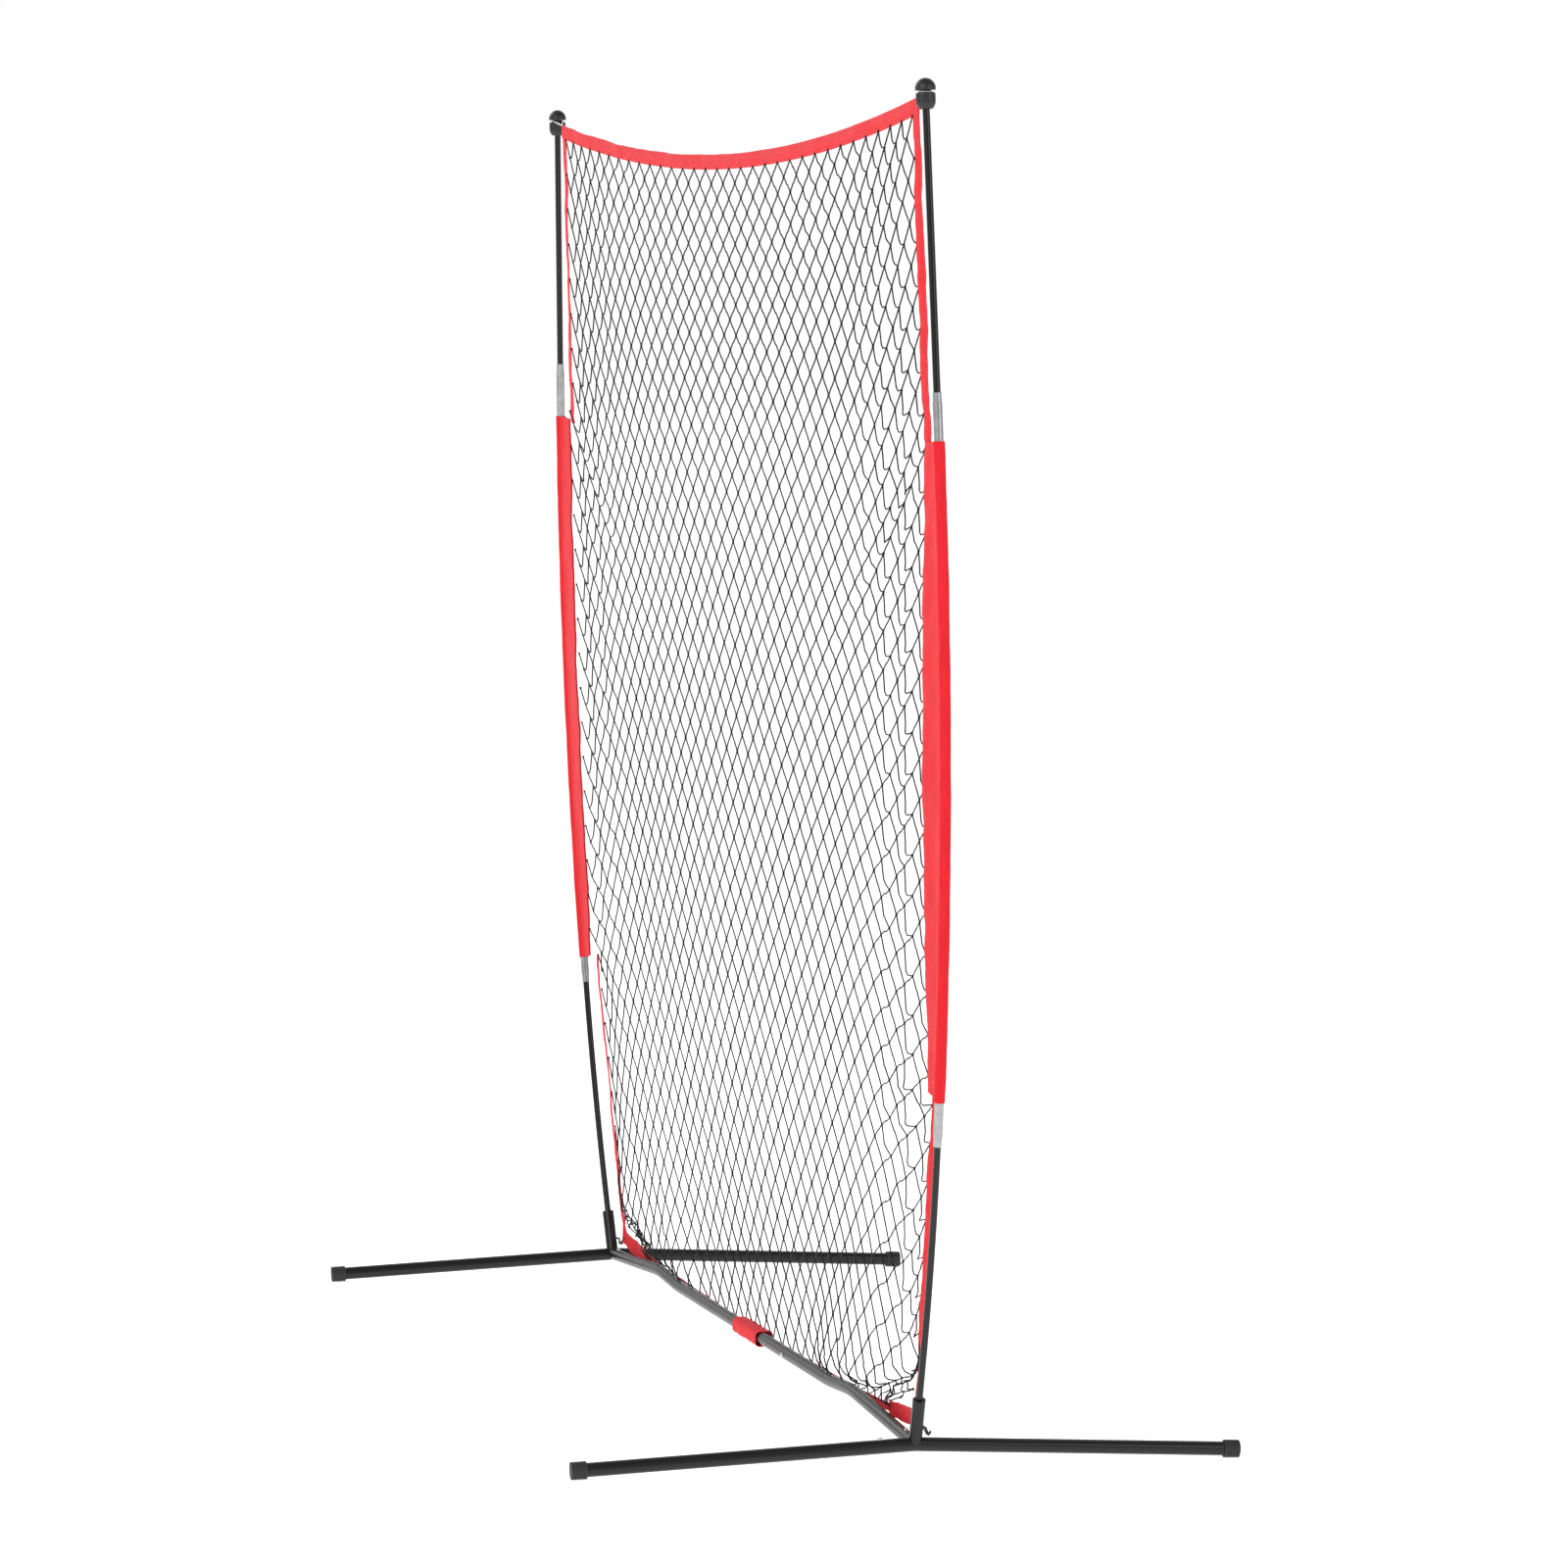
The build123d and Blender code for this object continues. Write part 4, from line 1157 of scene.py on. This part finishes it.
        # Each bar is a curve of its full length that leaves both knots the way they point
        lowLeft, lowRight = self.knots[self.neighbour(1, -1)], self.knots[self.neighbour(1, 1)]
        upLeft, upRight = self.knots[self.neighbour(-1, -1)], self.knots[self.neighbour(-1, 1)]
        down = unit(lowLeft + lowRight - upLeft - upRight)
        across = unit(lowRight + upRight - lowLeft - upLeft)
        first, second, turn = [], [], []
        for row, column in self.grid(self.rows - 1):
            for step in (-1, 1):
                if 0 <= column + step <= self.columns:
                    first.append(self.index[row, column])
                    second.append(self.index[row + 1, column + step])
                    turn.append(step)
        first, second, turn = np.array(first), np.array(second), np.array(turn)[:, None]
        start, stop = self.knots[first], self.knots[second]
        gap = np.linalg.norm(stop - start, axis=1)[:, None]
        length = self.barLength(first, second)[:, None]
        height = self.v[first][:, None]
        length = np.minimum(length, gap * (1.03 + np.clip((0.97 - height) / 0.1, 0, 1)))
        slack = np.clip(1 - gap / length, 0, 1)
        straight = (stop - start) / gap
        splay = self.look["splay"]
        leaveNatural = unit(across[first] * turn * splay + down[first] * 0.73)
        arriveNatural = unit(across[second] * turn * splay + down[second] * 0.73)
        share = 0.35 + 0.65 * np.clip(slack / 0.06, 0, 1)
        fall = np.array([0, 0, -self.look["fall"]]) * np.clip(slack / 0.1, 0, 1)
        leave = unit(straight * (1 - share) + leaveNatural * share + fall)
        arrive = unit(straight * (1 - share) + arriveNatural * share - fall)
        t = np.linspace(0, 1, self.look["cuts"] + 1)[None, :, None]
        fromStart, toStop = 2 * t**3 - 3 * t**2 + 1, 3 * t**2 - 2 * t**3
        outOf, into = t**3 - 2 * t**2 + t, t**3 - t**2
        least, most = 0.1 * length, 3.2 * length
        for step in range(14):
            reach = (least + most) / 2
            curve = fromStart * start[:, None] + outOf * (leave * reach)[:, None]
            curve = curve + toStop * stop[:, None] + into * (arrive * reach)[:, None]
            run = np.linalg.norm(np.diff(curve, axis=1), axis=2).sum(axis=1)[:, None]
            tooLong = run > np.maximum(length, gap * 1.01)
            most, least = np.where(tooLong, reach, most), np.where(tooLong, least, reach)
        self.bars = {(int(a), int(b)): line for a, b, line in zip(first, second, curve)}

    def twineRow(self, row):
        # One twine zigzags between two rows of knots
        line = []
        start = row % 2
        columns = range(start, self.columns + 1)
        knots = [self.index[row + (column - start) % 2, column] for column in columns]
        knots = [knot for knot in knots if knot >= 0]
        for here, there in zip(knots, knots[1:]):
            if (here, there) in self.bars:
                piece = self.bars[(here, there)]
            else:
                piece = self.bars[(there, here)][::-1]
            line.extend(piece[:-1] if there != knots[-1] else piece)
        return np.array(line)


def addTwines(net, name, odd, finish):
    data = bpy.data.curves.new(name, "CURVE")
    data.dimensions = "3D"
    for row in range(odd, net.rows - 1, 2):
        line = net.twineRow(row)
        spline = data.splines.new("POLY")
        spline.points.add(len(line) - 1)
        flat = np.c_[line, np.ones(len(line))]
        spline.points.foreach_set("co", flat.astype(np.float32).ravel())
        spline.use_smooth = True
    data.bevel_depth = netMesh["twine"]
    data.bevel_resolution = 1
    data.use_fill_caps = True
    return curvePiece(name, data, finish)


def addKnots(net, finish):
    bpy.ops.mesh.primitive_uv_sphere_add(segments=7, ring_count=5, radius=1)
    knot = bpy.context.object
    bpy.ops.object.mode_set(mode="EDIT")
    bpy.ops.mesh.select_all(action="SELECT")
    bpy.ops.transform.resize(value=(1.15, 0.8, 0.95))
    bpy.ops.object.mode_set(mode="OBJECT")
    shape = np.zeros(len(knot.data.vertices) * 3)
    knot.data.vertices.foreach_get("co", shape)
    shape = shape.reshape(-1, 3) * netMesh["knot"]
    faces = [list(face.vertices) for face in knot.data.polygons]
    bpy.data.objects.remove(knot)
    dice = np.random.default_rng(8)
    points, polygons = [], []
    for place in net.knots:
        turn = dice.uniform(0, 2 * pi)
        size = dice.uniform(0.85, 1.2, 3)
        turned = shape * size
        x = turned[:, 0] * cos(turn) - turned[:, 2] * sin(turn)
        z = turned[:, 0] * sin(turn) + turned[:, 2] * cos(turn)
        start = len(points) * len(shape)
        points.append(np.stack([x, turned[:, 1], z], axis=1) + place)
        polygons.extend([[start + corner for corner in face] for face in faces])
    mesh = bpy.data.meshes.new("netKnots")
    mesh.from_pydata(np.vstack(points).tolist(), [], polygons)
    mesh.update()
    knots = bpy.data.objects.new("netKnots", mesh)
    link(knots)
    mesh.shade_smooth()
    mesh.materials.append(finish.material)
    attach(knots, "frame")


net = Net(netMesh)
net.settle()
net.hangBars()
print("net settled:", len(net.knots), "knots,", len(net.bars), "bars")
turns = 2 * netMesh["across"] * netMesh["twist"]
twines = addTwines(net, "netTwinesFront", 0, twineFinish("twineFront", turns))
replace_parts(twines, "net")
addTwines(net, "netTwinesBack", 1, twineFinish("twineBack", turns))
addKnots(net, knotFinish())
print("net knotted")


# floor and light

stageLook = {
    "floor": (0.93, 0.93, 0.93),
    "glow": 0.68,  # evens the floor out to the backdrop's white
    "floorRough": 0.9, "floorShine": 0.1, "width": 120,
    "grey": 0.30,  # the near side's level
    "greyUntil": 0.15,  # share of the way round to the backdrop
    "whiteFrom": 0.75, "toBackdrop": (-0.956, 0.292, 0.0), "aim": (0, 0, 1),
    "lamps": {  # place, width and watts
        "keyLamp": ((5.5, -7.0, 6.0), 5.0, 430),
        "fillLamp": ((7.0, 4.0, 4.0), 5.0, 170),
        "backLamp": ((-5.0, -3.0, 5.0), 4.0, 150),
    },
}


def addBackdrop():
    # White behind the net and grey on the near side, as in a studio with one white wall
    world = bpy.data.worlds.new("studio")
    bpy.context.scene.world = world
    world.use_nodes = True
    nodesOf, links = world.node_tree.nodes, world.node_tree.links
    background = nodesOf["Background"]
    toward = nodesOf.new("ShaderNodeTexCoord").outputs["Generated"]
    facing = nodesOf.new("ShaderNodeVectorMath")
    facing.operation = "DOT_PRODUCT"
    facing.inputs[1].default_value = stageLook["toBackdrop"]
    links.new(toward, facing.inputs[0])
    shade = nodesOf.new("ShaderNodeValToRGB")
    grey = stageLook["grey"]
    stops = shade.color_ramp.elements
    stops[0].position, stops[0].color = stageLook["greyUntil"], (grey, grey, grey, 1)
    stops[1].position, stops[1].color = stageLook["whiteFrom"], (1, 1, 1, 1)
    links.new(facing.outputs["Value"], shade.inputs[0])
    links.new(shade.outputs[0], background.inputs["Color"])
    background.inputs["Strength"].default_value = 1.0


def addStage():
    bpy.ops.mesh.primitive_plane_add(size=stageLook["width"], location=(0, 0, -0.0005))
    floor = bpy.context.object
    floor.name = "floor"
    finish = Finish("floorPaint")
    finish.set(
        Base_Color=stageLook["floor"],
        Roughness=stageLook["floorRough"],
        Specular_IOR_Level=stageLook["floorShine"],
        Emission_Color=(1.0, 1.0, 1.0),
        Emission_Strength=stageLook["glow"],
    )
    floor.data.materials.append(finish.material)
    addBackdrop()
    for name, (place, size, power) in stageLook["lamps"].items():
        data = bpy.data.lights.new(name, "AREA")
        data.shape = "DISK"
        data.size = size
        data.energy = power
        lamp = bpy.data.objects.new(name, data)
        lamp.location = place
        aim = Vector(stageLook["aim"]) - Vector(place)
        lamp.rotation_euler = aim.to_track_quat("-Z", "Y").to_euler()
        link(lamp)


addStage()
print("stage lit")
